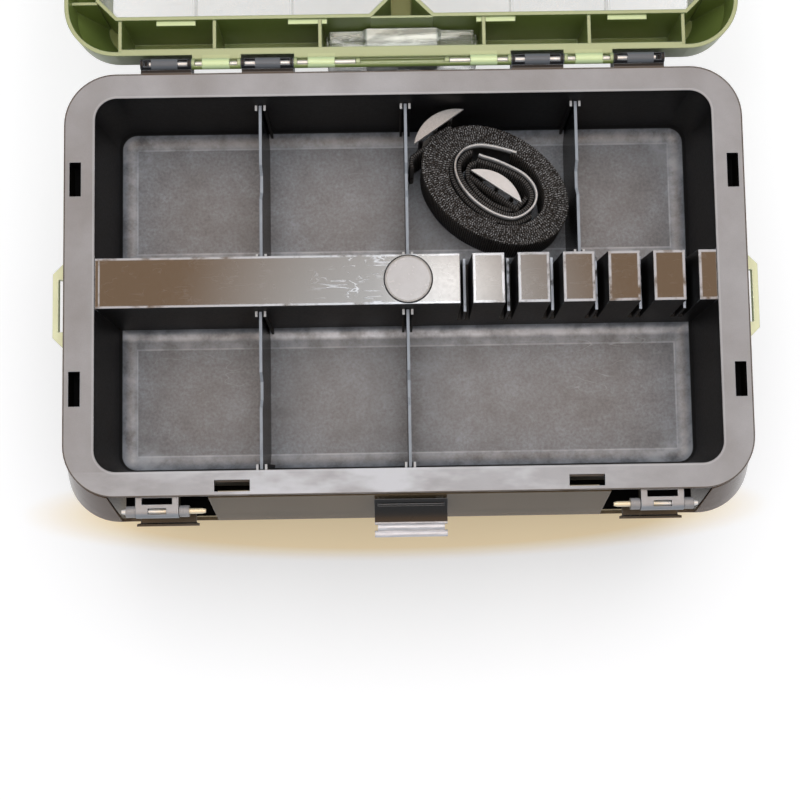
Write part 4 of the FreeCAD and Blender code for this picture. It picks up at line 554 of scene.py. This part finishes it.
def plug_finish(v):
    """Round plug in the beam, buffed lighter than the beam."""
    f = Finish("plug_plastic", v.scuff_and_highlight, 0.24, 0.0005, specular=0.6)
    r = f.far(f.less(f.x, PLUG_X), f.out_y)
    f.tint = f.tinted((0.160, 0.163, 0.176), f.cloud(120.0, 4.0, 0.6), 0.22)
    f.paint((0.03, 0.03, 0.03), f.above(r, PLUG_LIP, 0.0003))
    return f.close((0.20, f.cloud(300.0), 0.12), (f.math("SINE", f.times(r, PLUG_RINGS)), 0.00001, 0.35))


def case_finish(v):
    """Black case with a fine spark-eroded grain and rubbed edges."""
    f = Finish("case_black", v.black, 0.5, 0.0009)
    patches = f.cloud(20.0)
    f.tint = f.tinted(shade(v.black, 1.6), patches, 0.3)
    f.paint((0.09, 0.09, 0.095), f.edge, f.rise(f.cloud(45.0), 0.35, 0.7), 0.5)
    return f.close((0.42, patches, 0.16), (f.cells(1100.0), 0.0001, 0.5))


def green_finish(v):
    """Green lid: soft flow marks and a satin skin; painted light on its rim band, lit deck, tabs, bridges
    and partly worn edges; painted shade on its deck.
    """
    f = Finish("lid_green", v.green, 0.34, 0.0011, specular=0.6)
    fine = f.cloud(500.0, 3.0, 0.6)
    band = f.times(f.above(f.z, RIM_TOP - LID_BAND), f.upward(0.75, 0.15))
    lit = f.times(f.below(f.y, LID_STRIP_FRONT), f.below(f.z, FRAME_TOP), f.upward(0.1, 0.1))
    wedge = f.times(f.near(f.out_x, *LID_WEDGE), f.below(f.y, LID_WEDGE_REAR, 0.004),
                    f.below(f.z, LID_WEDGE_TOP, 0.012))
    leaf = f.times(f.below(f.y, LID_STRIP_FRONT - 0.0065), f.above(f.z, RIM_TOP))
    pale = tuple(min(1.0, c) for c in shade(v.green_edge, 1.9))
    f.vary(f.cloud(9.0, across=(1.0, 2.2, 1.0)), 0.30)
    f.vary(fine, 0.08)
    f.paint(shade(v.green, 0.6), f.below(f.z, LID_DECK_SHADE, 0.001), 0.25)
    # Lit lower faces and corner wedges painted paler: painted light
    f.paint(v.green_edge, f.most(lit, wedge), 0.45)
    # Rim band in the paler green: painted light from the glow through the thin plastic and its sheen
    f.paint(v.green_edge, band)
    # Pale tab tops and hinge-leaf bridges: painted highlights
    f.paint(pale, band, f.near(f.z, TAB_TOP, 0.0006), f.above(f.y, LID_STRIP_REAR - 0.012))
    f.paint(pale, leaf, f.either_side(LEAF_BRIDGES))
    # Paler edges: partly wear, partly painted highlight
    f.paint(v.green_edge, f.edge, 0.75)
    f.paint(v.green_edge, f.scratches(22.0, (1.0, 2.5, 1.0), 0.006), 0.3)
    return f.close((0.26, f.cloud(60.0, 4.0), 0.18), (fine, 0.0001, 0.5))


def loop_finish(v):
    """Pale green strap loops."""
    f = Finish("loop_green", v.loop, 0.36, 0.0010, specular=0.55)
    fine = f.cloud(450.0)
    f.vary(f.cloud(30.0), 0.16)
    f.paint((0.78, 0.81, 0.66), f.edge, 0.5)
    return f.close((0.28, fine, 0.16), (fine, 0.0001, 0.5))


def clear_finish(name, cover, edge_cover, tint):
    """Clear styrene: nearly invisible faces, bright cut edges and light smears."""
    f = Finish(name, tint, 0.08, 0.0009, specular=0.6, cover=cover)
    smear = f.rise(f.cloud(18.0, 5.0, 0.6, across=(1.0, 1.6, 1.0)), 0.45, 0.8)
    f.vary(f.cloud(40.0), 0.08)
    f.hide(cover, f.plus(f.times(f.edge, edge_cover), f.times(smear, 0.07)))
    return f.close((0.05, smear, 0.22), (f.cloud(260.0), 0.00006, 0.5))


def divider_finish(v):
    """Dark see-through divider plates whose top edge is painted pale: a painted highlight of the overhead
    light.
    """
    f = Finish("divider_dark", v.black, 0.30, 0.0006, specular=0.05)
    top = f.times(f.upward(0.25, 0.1), f.above(f.z, DIVIDER_EDGE))
    top_streaks = f.cloud(900.0, 2.0, 0.6, across=(1.0, 0.15, 1.0))
    # Pale top edge: painted highlight
    f.paint(f.tinted(shade(v.scuff_and_highlight, 0.75), top_streaks, 0.30), top)
    f.hide(0.95, f.times(f.most(top, f.edge), 0.05))
    return f.close((0.24, top, 0.25), (f.cloud(200.0), 0.00006, 0.4))


def door_finish(v):
    """Smoked front door, see-through brown with soft flow marks."""
    f = Finish("smoked_door", v.smoke, 0.10, 0.0009, specular=0.05, cover=v.smoke_cover)
    f.vary(f.cloud(7.0, 3.0, 0.5, across=(1.6, 1.0, 1.0)), 0.35)
    f.paint((0.085, 0.045, 0.030), f.above(f.out_x, DOOR_SIDE, DOOR_SIDE_SOFT))
    f.paint((0.5, 0.45, 0.4), f.rise(f.cloud(900.0, 2.0, 0.7), 0.66, 0.8), 0.08)
    f.paint((0.32, 0.25, 0.19), f.edge, 0.35)
    f.hide(v.smoke_cover, f.times(f.edge, 0.25))
    return f.close((0.06, f.cloud(25.0, 4.0), 0.12), (f.cloud(14.0, 2.0), 0.0003, 0.3))


def pull_finish(v):
    """Glossy black pull whose two finger bars are painted pale silver: painted highlights of the overhead
    light on their ridges.
    """
    f = Finish("pull_gloss", v.black, 0.16, 0.0006, specular=0.25)
    bars = f.most(*[f.below(f.far(f.size_of(f.less(f.y, y)), f.size_of(f.less(f.z, z))),
                            PULL_BAR_RADIUS, 0.0003) for y, z in PULL_BARS])
    drawn = f.cloud(900.0, 2.0, 0.6, across=(0.08, 1.0, 1.0))
    f.vary(f.cloud(40.0), 0.3)
    f.paint(v.scuff_and_highlight, f.edge, 0.2)
    # Pale silver on the finger bars: painted highlight
    f.paint(f.tinted((0.52, 0.52, 0.55), drawn, 0.55), bars)
    f.put("Metallic", f.times(bars, 0.06))
    return f.close((0.22, f.cloud(700.0), 0.16), (drawn, 0.00004, 0.4))


def lever_finish(v):
    """Latch levers: glossy olive-black with worn grey barrels."""
    f = Finish("latch_plastic", v.black, 0.25, 0.0006, specular=0.25)
    barrel = f.times(f.above(f.z, BARREL_LOW, 0.0005), f.upward(-0.2, 0.2))
    rings = f.times(f.math("SINE", f.times(f.x, BARREL_RINGS)), barrel)
    f.tint = f.tinted((0.020, 0.019, 0.014), f.cloud(50.0), 0.3)
    f.paint(v.scuff_and_highlight, f.edge, 0.3)
    f.paint(f.tinted((0.27, 0.265, 0.27), f.cloud(160.0), 0.3), barrel)
    return f.close((0.18, f.cloud(220.0), 0.14), (rings, 0.00010, 0.6))


def handle_finish(v):
    """Soft black carry handle with a fine leather-like grain."""
    f = Finish("handle_soft", shade(v.black, 1.5), 0.6, 0.0012, specular=0.4, sheen=0.05)
    f.vary(f.cloud(30.0), 0.3)
    f.paint((0.06, 0.06, 0.062), f.edge, 0.4)
    return f.close((0.50, f.cloud(180.0), 0.2), (f.cells(650.0), 0.0002, 0.6))


def steel_finish(m, name, warm_end=False):
    """Drawn steel with lengthwise streaks; the inner end of a latch rod is warmer."""
    f = Finish(name, m.steel, m.roughness, metallic=0.10)
    streak = f.cloud(1600.0, 3.0, 0.6, across=(0.04, 1.0, 1.0))
    f.vary(streak, 0.22)
    if warm_end:
        f.paint(m.brass, f.rise(f.times(f.out_x, -1.0), -LATCH_X - 0.006, -LATCH_X + 0.010))
    return f.close((m.roughness - 0.08, streak, 0.22), (streak, 0.00003, 0.5))


def shade_pocket_finish(v):
    """Near-black, mottled by a noise, of the pockets that lie in shadow: painted shade."""
    f = Finish("pocket_painted_shade", v.black, 0.8, specular=0.03)
    shade_mottle = f.cloud(300.0, 4.0, 0.6)
    f.tint = f.tinted(shade(v.black, 0.35), shade_mottle, 0.5)
    return f.close((0.7, shade_mottle, 0.2), (shade_mottle, 0.0001, 0.4))


def cover_reflection_finish():
    """Clear glossy plastic; its white ridges, lengthwise streaks and brighter middle are painted
    reflection.
    """
    f = Finish("cover_clear_reflection", (0.74, 0.77, 0.74), 0.06, 0.0008)
    streak = f.cloud(140.0, 4.0, 0.6, across=(0.10, 1.0, 1.0))
    broad = f.cloud(70.0, 3.0, 0.5, across=(0.5, 1.0, 1.0), offset=(0.2, 0.6, 0.0))
    # Paler, more opaque streaks and middle: painted reflection of the overhead light
    bright = f.most(f.rise(streak, 0.46, 0.62), f.rise(broad, 0.50, 0.66))
    middle = f.times(f.near(f.x, 0.0, COVER_HALF, 0.001), f.ranged(0.16, broad, 0.30))
    f.tint = f.tinted((0.80, 0.84, 0.80), streak, 0.45)
    f.hide(0.08, f.plus(f.times(bright, 0.55), f.times(f.edge, 0.75), middle))
    return f.close((0.05, streak, 0.20), (streak, 0.0002, 0.4))


# Finishes of the strap

def webbing_finish(s):
    """Black polyester webbing: cross ribs and a woven face; grey flecks on its edge and lighter rib crests
    are painted highlights.
    """
    f = Finish("black_webbing", s.web_colour, 0.75, specular=0.12, sheen=0.03)
    along, across, _ = f.split(f.length_map)
    top = f.above(across, s.web_width - WEB_EDGE, 0.0003)
    wander = f.times(f.cloud(240.0), 0.0012)
    rib = f.math("SINE", f.times(f.plus(along, wander), 2 * math.pi / s.rib_pitch))
    pick = f.math("SINE", f.times(across, 2 * math.pi / PICK_PITCH))
    yarn = f.cloud(1500.0, 3.0, 0.7)
    crest = f.rise(rib, -0.1, 0.9)
    shine = f.times(f.ranged(0.12, crest, 0.78), f.rise(f.cloud(900.0, 2.0, 0.6), 0.44, 0.62))
    f.vary(yarn, 0.5)
    # Grey flecks on the top edge and lighter rib crests: painted highlights where the weave catches the
    # light
    f.paint(s.fleck_colour, top, shine)
    f.paint(s.fleck_colour, f.less(1.0, top), f.times(crest, 0.26))
    weave = f.plus(f.times(rib, f.ranged(0.6, pick, 0.4)), f.times(yarn, 0.8))
    return f.close((0.62, yarn, 0.25), (weave, 0.00035, 0.9))


def pale_finish(s):
    """Pale grey plastic of the strip and the buckles, slightly waxy; near-black below the roll's top edge,
    painted shade inside the roll.
    """
    f = Finish("pale_plastic", s.strip_colour, 0.32, 0.0007)
    cloudy, fine = f.cloud(70.0, 4.0, 0.6), f.cloud(800.0)
    f.vary(cloudy, 0.25)
    f.paint(f.tinted(shade(s.strip_colour, 0.55), fine, 0.35), f.below(f.x, OUTER_BUCKLE, 0.002))
    # Near-black below the roll's top edge: painted shade inside the roll
    f.paint((0.012, 0.012, 0.012), f.below(f.z, STRAP_FOOT + PALE_HEIGHT, 0.004))
    f.paint((0.50, 0.50, 0.50), f.edge, 0.3)
    return f.close((0.26, cloudy, 0.16), (fine, 0.00008, 0.5))


# Shapes

def placed(name, data, place=(0.0, 0.0, 0.0), turn=(0.0, 0.0, 0.0)):
    """New object in the scene."""
    made = bpy.data.objects.new(name, data)
    made.location = place
    made.rotation_euler = turn
    bpy.context.scene.collection.objects.link(made)
    return made


def linked_mesh(name, verts, faces):
    """Object from a list of corners and faces."""
    mesh = bpy.data.meshes.new(name)
    mesh.from_pydata(verts, [], faces)
    return placed(name, mesh)


def grid_faces(lines, n):
    """Faces between lines of n corners each."""
    return [(i * n + j, i * n + j + 1, (i + 1) * n + j + 1, (i + 1) * n + j)
            for i in range(lines - 1) for j in range(n - 1)]


def walled(name, verts, faces, thickness, edge):
    """Object whose faces are thickened to both sides and have softened edges."""
    made = linked_mesh(name, verts, faces)
    shell = made.modifiers.new("wall", "SOLIDIFY")
    shell.thickness = thickness
    shell.offset = 0.0
    shell.use_even_offset = True
    soft = made.modifiers.new("edges", "BEVEL")
    soft.width = edge
    soft.segments = 2
    soft.limit_method = "ANGLE"
    return made


def moulded(piece, body, finish):
    finish.dress(piece.name)
    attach(piece, body)


def even_steps(points, step):
    """The same line with points set evenly apart."""
    run = [0.0]
    for p, q in zip(points, points[1:]):
        run.append(run[-1] + (q - p).length)
    count = max(2, int(run[-1] / step))
    out, k = [], 0
    for i in range(count + 1):
        want = run[-1] * i / count
        while k < len(run) - 2 and run[k + 1] < want:
            k += 1
        span = max(run[k + 1] - run[k], 1e-9)
        out.append(points[k].lerp(points[k + 1], (want - run[k]) / span))
    return out


def smooth_line(places):
    """Even steps along a rounded line through given places in millimetres."""
    knots = [Vector(p) / 1000.0 for p in places]
    line = []
    for k in range(len(knots) - 1):
        p0, p1, p2 = knots[max(k - 1, 0)], knots[k], knots[k + 1]
        p3 = knots[min(k + 2, len(knots) - 1)]
        for i in range(12):
            t = i / 12.0
            line.append(p1 + ((p2 - p0) * t + (p0 * 2 - p1 * 5 + p2 * 4 - p3) * t ** 2
                              + (p1 * 3 - p0 - p2 * 3 + p3) * t ** 3) / 2)
    return even_steps(line + [knots[-1]], LINE_STEP)


def roll_line(s):
    """Upper line of the roll: a tilted oval spiral, wound inwards from its outer end."""
    c, w = math.cos(STRAP_TILT), math.sin(STRAP_TILT)
    half = ROLL_EDGE / 2
    start = [size - half + shrink * ROLL_START / 360.0
             for size, shrink in zip((s.half_long, s.half_wide), ROLL_SHRINK)]
    line = []
    steps = int(ROLL_STEPS * s.turns)
    for i in range(steps + 1):
        turn = ROLL_START + 360.0 * s.turns * i / steps
        t = math.radians(turn)
        x = (start[0] - ROLL_SHRINK[0] * turn / 360.0) * math.cos(t)
        y = (start[1] - ROLL_SHRINK[1] * turn / 360.0) * math.sin(t)
        line.append(STRAP_MIDDLE + Vector((x * c - y * w, x * w + y * c)))
    return even_steps(line, ROLL_STEP)


def turn_gap(place):
    """Distance from one turn of the roll to the next at a place, so that the turns close up."""
    c, s = math.cos(STRAP_TILT), math.sin(STRAP_TILT)
    flat = place - STRAP_MIDDLE
    u, w = flat.x * c + flat.y * s, -flat.x * s + flat.y * c
    long_share = u * u / max(u * u + w * w * ROLL_OVAL, 1e-9)
    return (ROLL_SHRINK[0] * long_share + ROLL_SHRINK[1] * (1.0 - long_share)) * ROLL_FILL


def laid_beside(points, gap, first, last):
    """Part of a line, from one share of its length to another, moved to its left by a gap."""
    out = []
    for i, p in enumerate(points):
        ahead = points[min(i + 2, len(points) - 1)] - points[max(i - 2, 0)]
        out.append(p + Vector((-ahead.y, ahead.x)).normalized() * gap)
    return out[int(len(out) * first):int(len(out) * last)]


def upright_band(name, points, height, thickness, wobble=0.0, seed=0.0, crown=0.35):
    """Band standing on edge along a flat line, with rounded upper edges and a map of its length."""
    count, n = len(points), len(BAND_ROWS)
    verts, maps = [], []
    run = 0.0
    for i, p in enumerate(points):
        thick = thickness[i] if isinstance(thickness, list) else thickness
        ahead = points[min(i + 1, count - 1)] - points[max(i - 1, 0)]
        side = Vector((-ahead.y, ahead.x)).normalized()
        if i:
            run += (p - points[i - 1]).length
        lift = wobble * noise.noise(Vector((run * BAND_WAVE, seed, 0.0)))
        for offset, up, drop in BAND_ROWS:
            q = p + side * (offset * thick)
            z = STRAP_FOOT + height * up + drop * thick * crown
            if up > 0.9:
                z += lift - wobble * 0.5
            verts.append((q.x, q.y, z))
            maps.append((run, up * height + offset * thick))
    faces = [(i * n + j, (i + 1) * n + j, (i + 1) * n + (j + 1) % n, i * n + (j + 1) % n)
             for i in range(count - 1) for j in range(n)]
    faces.append(tuple(range(n)))
    faces.append(tuple(reversed(range((count - 1) * n, count * n))))
    band = linked_mesh(name, verts, faces)
    mesh = band.data
    layer = mesh.uv_layers.new(name="length")
    for loop in mesh.loops:
        layer.data[loop.index].uv = maps[loop.vertex_index]
    for face in mesh.polygons:
        face.use_smooth = len(face.vertices) == 4
    mesh.update()
    return band


def open_box(name, middle, half, heights):
    """Pocket with four walls and a bottom, open at the top."""
    (x, y), (hx, hy), (z0, z1) = middle, half, heights
    ring = ((x - hx, y - hy), (x + hx, y - hy), (x + hx, y + hy), (x - hx, y + hy))
    verts = [(px, py, z) for z in (z0, z1) for px, py in ring]
    faces = [(0, 1, 2, 3)] + [(k, (k + 1) % 4, (k + 1) % 4 + 4, k + 4) for k in range(4)]
    return walled(name, verts, faces, SLOT_WALL, 0.0003)


def strip_of(name, profile, x0, x1, thickness, edge):
    """Sheet with a bent profile in Y and Z, running from x0 to x1."""
    verts = [(x, y, z) for x in (x0, x1) for y, z in profile]
    return walled(name, verts, grid_faces(2, len(profile)), thickness, edge)


def latch_shade_shelf(name, side):
    """Apron with a shelf on the case's front, behind and below a hanging latch lever, that stands for the
    shade in the latch's notch.
    """
    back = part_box("cabinet_shell")[0][1] + SHELF_BACK
    profile = SHELF_LINE + tuple((back, z) for z in SHELF_HEIGHTS)
    return strip_of(name, profile, *sorted(side * x for x in SHELF_X), SHELF_WALL, 0.0003)


def lid_cross_wall():
    """Wall across the lid between the two bay frames, beside the hinge trough."""
    profile = ((LID_STRIP_REAR, LID_DECK), (LID_STRIP_REAR + 0.0004, FRAME_TOP - 0.0006))
    return strip_of("lid_cross_wall", profile, -CROSS_WALL_HALF, CROSS_WALL_HALF, CROSS_WALL_THICK, 0.0005)


def lid_clear_cover():
    """Clear stepped cover in the middle of the lid's hinge trough."""
    verts = [(x, y, LID_DECK + COVER_FOOT + COVER_HIGH * up * rise)
             for x, rise in COVER_COLUMNS for y, up in COVER_ROWS]
    faces = grid_faces(len(COVER_COLUMNS), len(COVER_ROWS))
    return walled("lid_clear_cover", verts, faces, COVER_WALL, 0.0006)


def flat_grid(name, area, z, count):
    """Flat grid mesh used for the floor and for the card."""
    x0, x1, y0, y1 = area
    steps = range(count + 1)
    verts = [(x0 + (x1 - x0) * i / count, y0 + (y1 - y0) * j / count, z) for j in steps for i in steps]
    return linked_mesh(name, verts, grid_faces(count + 1, count + 1))


# Stage

def lay_floor(v):
    """Pale floor with a painted warm shadow before the door, lifted towards white where it is seen
    directly.
    """
    floor = flat_grid("floor", FLOOR_AREA, 0.0, 4)
    floor.data.materials.append(bpy.data.materials.new("pale_floor"))
    n = Nodes(floor.data.materials[0])
    # Painted warm shadow on the floor before the door
    warm_shadow = n.math("MULTIPLY", n.ball(FLOOR_SHADOW_AT, FLOOR_SHADOW_SIZE), FLOOR_SHADOW_STEEP, clamp=True)
    tint = n.mix(warm_shadow, v.floor_colour, v.floor_warm_shadow)
    lit = n.shader("Emission", Color=tint, Strength=n.times(n.seen_directly(), v.floor_lift))
    both = n.join("AddShader", n.shader("BsdfDiffuse", Color=tint), lit)
    n.add("OutputMaterial", {"Surface": both})
    return floor


def hang_card(v):
    """Card over the camera that only glossy plastic mirrors: brown, with a bright patch and spot."""
    card = flat_grid("mirror_card", CARD_AREA, v.card_height, 2)
    card.data.materials.append(bpy.data.materials.new("card_glow"))
    n = Nodes(card.data.materials[0])
    tint = n.mix(n.ball(CARD_PATCH_AT, CARD_PATCH_SIZE), v.card_colour, CARD_WHITE)
    spot = n.ball(CARD_SPOT_AT, CARD_SPOT_SIZE)
    power = n.math("MULTIPLY_ADD", spot, v.card_glow * v.card_spot, v.card_glow)
    n.add("OutputMaterial", {"Surface": n.shader("Emission", Color=tint, Strength=power)})
    for ray in ("camera", "diffuse", "transmission", "volume_scatter", "shadow"):
        setattr(card, "visible_" + ray, False)
    return card


def hang_lamp(v):
    data = bpy.data.lights.new("soft_lamp", "AREA")
    data.shape = "SQUARE"
    data.size = v.lamp_size
    data.energy = v.lamp_power
    data.color = LAMP_TINT
    turn = (LAMP_AIM - LAMP_AT).to_track_quat("-Z", "Y").to_euler()
    placed("soft_lamp", data, LAMP_AT, turn).visible_glossy = False


def light_world(v):
    """Soft light from all round, behind a white that is seen directly."""
    world = bpy.data.worlds.new("studio")
    bpy.context.scene.world = world
    n = Nodes(world)
    soft = n.shader("Background", Color=v.fill_colour, Strength=v.fill)
    white = n.shader("Background", Color=WHITE, Strength=1.0)
    n.add("OutputWorld", {"Surface": n.join("MixShader", n.seen_directly(), soft, white)})


def set_camera(v):
    data = bpy.data.cameras.new("camera")
    data.lens = v.lens
    data.sensor_width = CAMERA_SENSOR
    data.clip_start, data.clip_end = CAMERA_REACH
    turn = Euler([math.radians(a) for a in CAMERA_TURN])
    bpy.context.scene.camera = placed("camera", data, CAMERA_AT, turn)


def nodes_called(*starts):
    """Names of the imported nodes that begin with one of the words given."""
    return [name for name in NODES if name.startswith(starts)]


class TACKLE_OT_stage(bpy.types.Operator):
    """Sets the camera, the pale floor, the lamp and what gloss mirrors"""
    bl_idname = "tackle.stage"
    bl_label = "Stage"

    def execute(self, context):
        v = context.scene.tackle_stage
        set_camera(v)
        lay_floor(v)
        hang_card(v)
        hang_lamp(v)
        light_world(v)
        context.scene.view_settings.view_transform = "Standard"
        return {"FINISHED"}


class TACKLE_OT_black_parts(bpy.types.Operator):
    """Gives the bin, its plug, the case and the carry handle their black plastics"""
    bl_idname = "tackle.black_parts"
    bl_label = "Bin, case and handle"

    def execute(self, context):
        v = context.scene.tackle_plastics
        bin_finish(v).dress("storage_bin")
        plug_finish(v).dress("beam_plug")
        case_finish(v).dress("cabinet_shell", *nodes_called("side_jamb", "runner"))
        bracket_finish(v).dress(*nodes_called("latch_bracket"))
        handle_finish(v).dress("carry_handle")
        return {"FINISHED"}


class TACKLE_OT_green_parts(bpy.types.Operator):
    """Gives the lid and the strap loops their greens"""
    bl_idname = "tackle.green_parts"
    bl_label = "Lid and strap loops"

    def execute(self, context):
        v = context.scene.tackle_plastics
        green_finish(v).dress("lid_shell")
        loop_finish(v).dress("strap_loop_left", "strap_loop_right")
        return {"FINISHED"}


class TACKLE_OT_clear_parts(bpy.types.Operator):
    """Gives the dividers, trays, windows and utility boxes their clear plastics"""
    bl_idname = "tackle.clear_parts"
    bl_label = "Clear parts"

    def execute(self, context):
        v = context.scene.tackle_plastics
        c = v.clear_cover
        divider_finish(v).dress(*nodes_called("divider_"))
        clear_finish("tray_clear", c, 0.30, (0.80, 0.82, 0.80)).dress(*nodes_called("lid_tray"))
        clear_finish("window_clear", c * 0.6, 0.25, v.clear).dress(*nodes_called("lid_window"))
        clear_finish("box_clear", c * 2.0, 0.45, v.clear).dress(*nodes_called("utility_"))
        return {"FINISHED"}


class TACKLE_OT_front(bpy.types.Operator):
    """Gives the smoked door, its pull and the latch levers their finishes"""
    bl_idname = "tackle.front"
    bl_label = "Door, pull and latches"

    def execute(self, context):
        v = context.scene.tackle_plastics
        door_finish(v).dress("front_door")
        pull_finish(v).dress("door_pull")
        lever_finish(v).dress("latch_lever_left", "latch_lever_right")
        return {"FINISHED"}


class TACKLE_OT_metal(bpy.types.Operator):
    """Gives the rods and pins their drawn steel"""
    bl_idname = "tackle.metal"
    bl_label = "Rods and pins"

    def execute(self, context):
        m = context.scene.tackle_metal
        pins = [name for name in NODES if name.startswith("hinge_rod") or "_pin" in name]
        steel_finish(m, "drawn_steel").dress(*pins)
        steel_finish(m, "latch_rod_steel", warm_end=True).dress("latch_rod_left", "latch_rod_right")
        return {"FINISHED"}


class TACKLE_OT_webbing(bpy.types.Operator):
    """Winds the black webbing of the shoulder strap"""
    bl_idname = "tackle.webbing"
    bl_label = "Rolled webbing"

    def execute(self, context):
        s = context.scene.tackle_strap
        roll, strip = roll_line(s), smooth_line(STRIP_LINE)
        coil = upright_band("webbing_roll", roll, s.web_width, [turn_gap(p) for p in roll], 0.0010, 3.0)
        bands = [coil]
        for name, line, high, thick, wobble, seed in (
                ("webbing_tail", smooth_line(TAIL_LINE), 0.97, 1.8, 0.0008, 5.0),
                ("webbing_core", smooth_line(CORE_LINE), 0.86, 1.9, 0.0015, 7.0),
                ("webbing_chord", smooth_line(CHORD_LINE), 0.95, 1.6, 0.0006, 11.0),
                ("webbing_lining", laid_beside(strip, 0.0032, 0.17, 1.0), 0.93, 1.9, 0.0012, 9.0),
                ("webbing_sleeve", laid_beside(strip, -0.0030, 0.12, 0.66), 0.90, 1.8, 0.0009, 13.0)):
            bands.append(upright_band(name, line, s.web_width * high, s.webbing * thick, wobble, seed))
        webbing = webbing_finish(s)
        for band in bands:
            moulded(band, "strap", webbing)
        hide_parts("strap_coil")
        return {"FINISHED"}


class TACKLE_OT_strip(bpy.types.Operator):
    """Bends the pale strip inside the roll and finishes both buckles"""
    bl_idname = "tackle.strip"
    bl_label = "Pale strip and buckles"

    def execute(self, context):
        s = context.scene.tackle_strap
        strip = upright_band("pale_strip", smooth_line(STRIP_LINE), STRIP_WIDTH, STRIP_THICK, crown=0.5)
        pale = pale_finish(s)
        pale.dress("buckle_outer", "buckle_inner")
        moulded(strip, "strap", pale)
        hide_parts("pad_strip")
        return {"FINISHED"}


class TACKLE_OT_mouldings(bpy.types.Operator):
    """Builds the dark pockets under the rim's slots and behind the latches as painted shade, and two lid
    mouldings
    """
    bl_idname = "tackle.mouldings"
    bl_label = "Pockets and lid mouldings"

    def execute(self, context):
        v = context.scene.tackle_plastics
        # Near-black pieces that stand for the shade under the slots and behind the latches
        dark = shade_pocket_finish(v)
        heights = (RIM_TOP - SLOT_DEPTH, RIM_TOP - SLOT_MOUTH)
        for side, word in ((-1, "left"), (1, "right")):
            for way, end in ((-1, "front"), (1, "rear")):
                middle = (side * SIDE_SLOT[0], way * SIDE_SLOT[1])
                pocket = open_box("slot_shade_pocket_%s_%s" % (word, end), middle, SIDE_SLOT_HALF, heights)
                moulded(pocket, "cabinet", dark)
            moulded(latch_shade_shelf("latch_shade_shelf_" + word, side), "cabinet", dark)
        moulded(lid_cross_wall(), "lid", green_finish(v))
        moulded(lid_clear_cover(), "lid", cover_reflection_finish())
        return {"FINISHED"}


class TACKLE_PT_panel(bpy.types.Panel):
    """Buttons for the cabinet's pieces and their sizes and colours"""
    bl_idname = "TACKLE_PT_panel"
    bl_label = "Tackle cabinet"
    bl_space_type = "VIEW_3D"
    bl_region_type = "UI"
    bl_category = "Tackle"

    def draw(self, context):
        for operator in OPERATORS:
            self.layout.operator(operator.bl_idname)
        for name in GROUPS:
            box = self.layout.box()
            group = getattr(context.scene, name)
            for key in group.bl_rna.properties.keys():
                if key not in ("rna_type", "name"):
                    box.prop(group, key)


OPERATORS = (TACKLE_OT_stage, TACKLE_OT_black_parts, TACKLE_OT_green_parts, TACKLE_OT_clear_parts,
             TACKLE_OT_front, TACKLE_OT_metal, TACKLE_OT_webbing, TACKLE_OT_strip, TACKLE_OT_mouldings)
GROUPS = {"tackle_stage": TackleStage, "tackle_plastics": TacklePlastics, "tackle_strap": TackleStrap,
          "tackle_metal": TackleMetal}
CLASSES = tuple(GROUPS.values()) + OPERATORS + (TACKLE_PT_panel,)


def register():
    for cls in CLASSES:
        bpy.utils.register_class(cls)
    for name, group in GROUPS.items():
        setattr(bpy.types.Scene, name, PointerProperty(type=group))


def unregister():
    for name in GROUPS:
        delattr(bpy.types.Scene, name)
    for cls in reversed(CLASSES):
        bpy.utils.unregister_class(cls)


def main():
    register()
    bpy.ops.tackle.stage()
    bpy.ops.tackle.black_parts()
    bpy.ops.tackle.green_parts()
    bpy.ops.tackle.clear_parts()
    bpy.ops.tackle.front()
    bpy.ops.tackle.metal()
    bpy.ops.tackle.webbing()
    bpy.ops.tackle.strip()
    bpy.ops.tackle.mouldings()


if __name__ == "__main__":
    main()
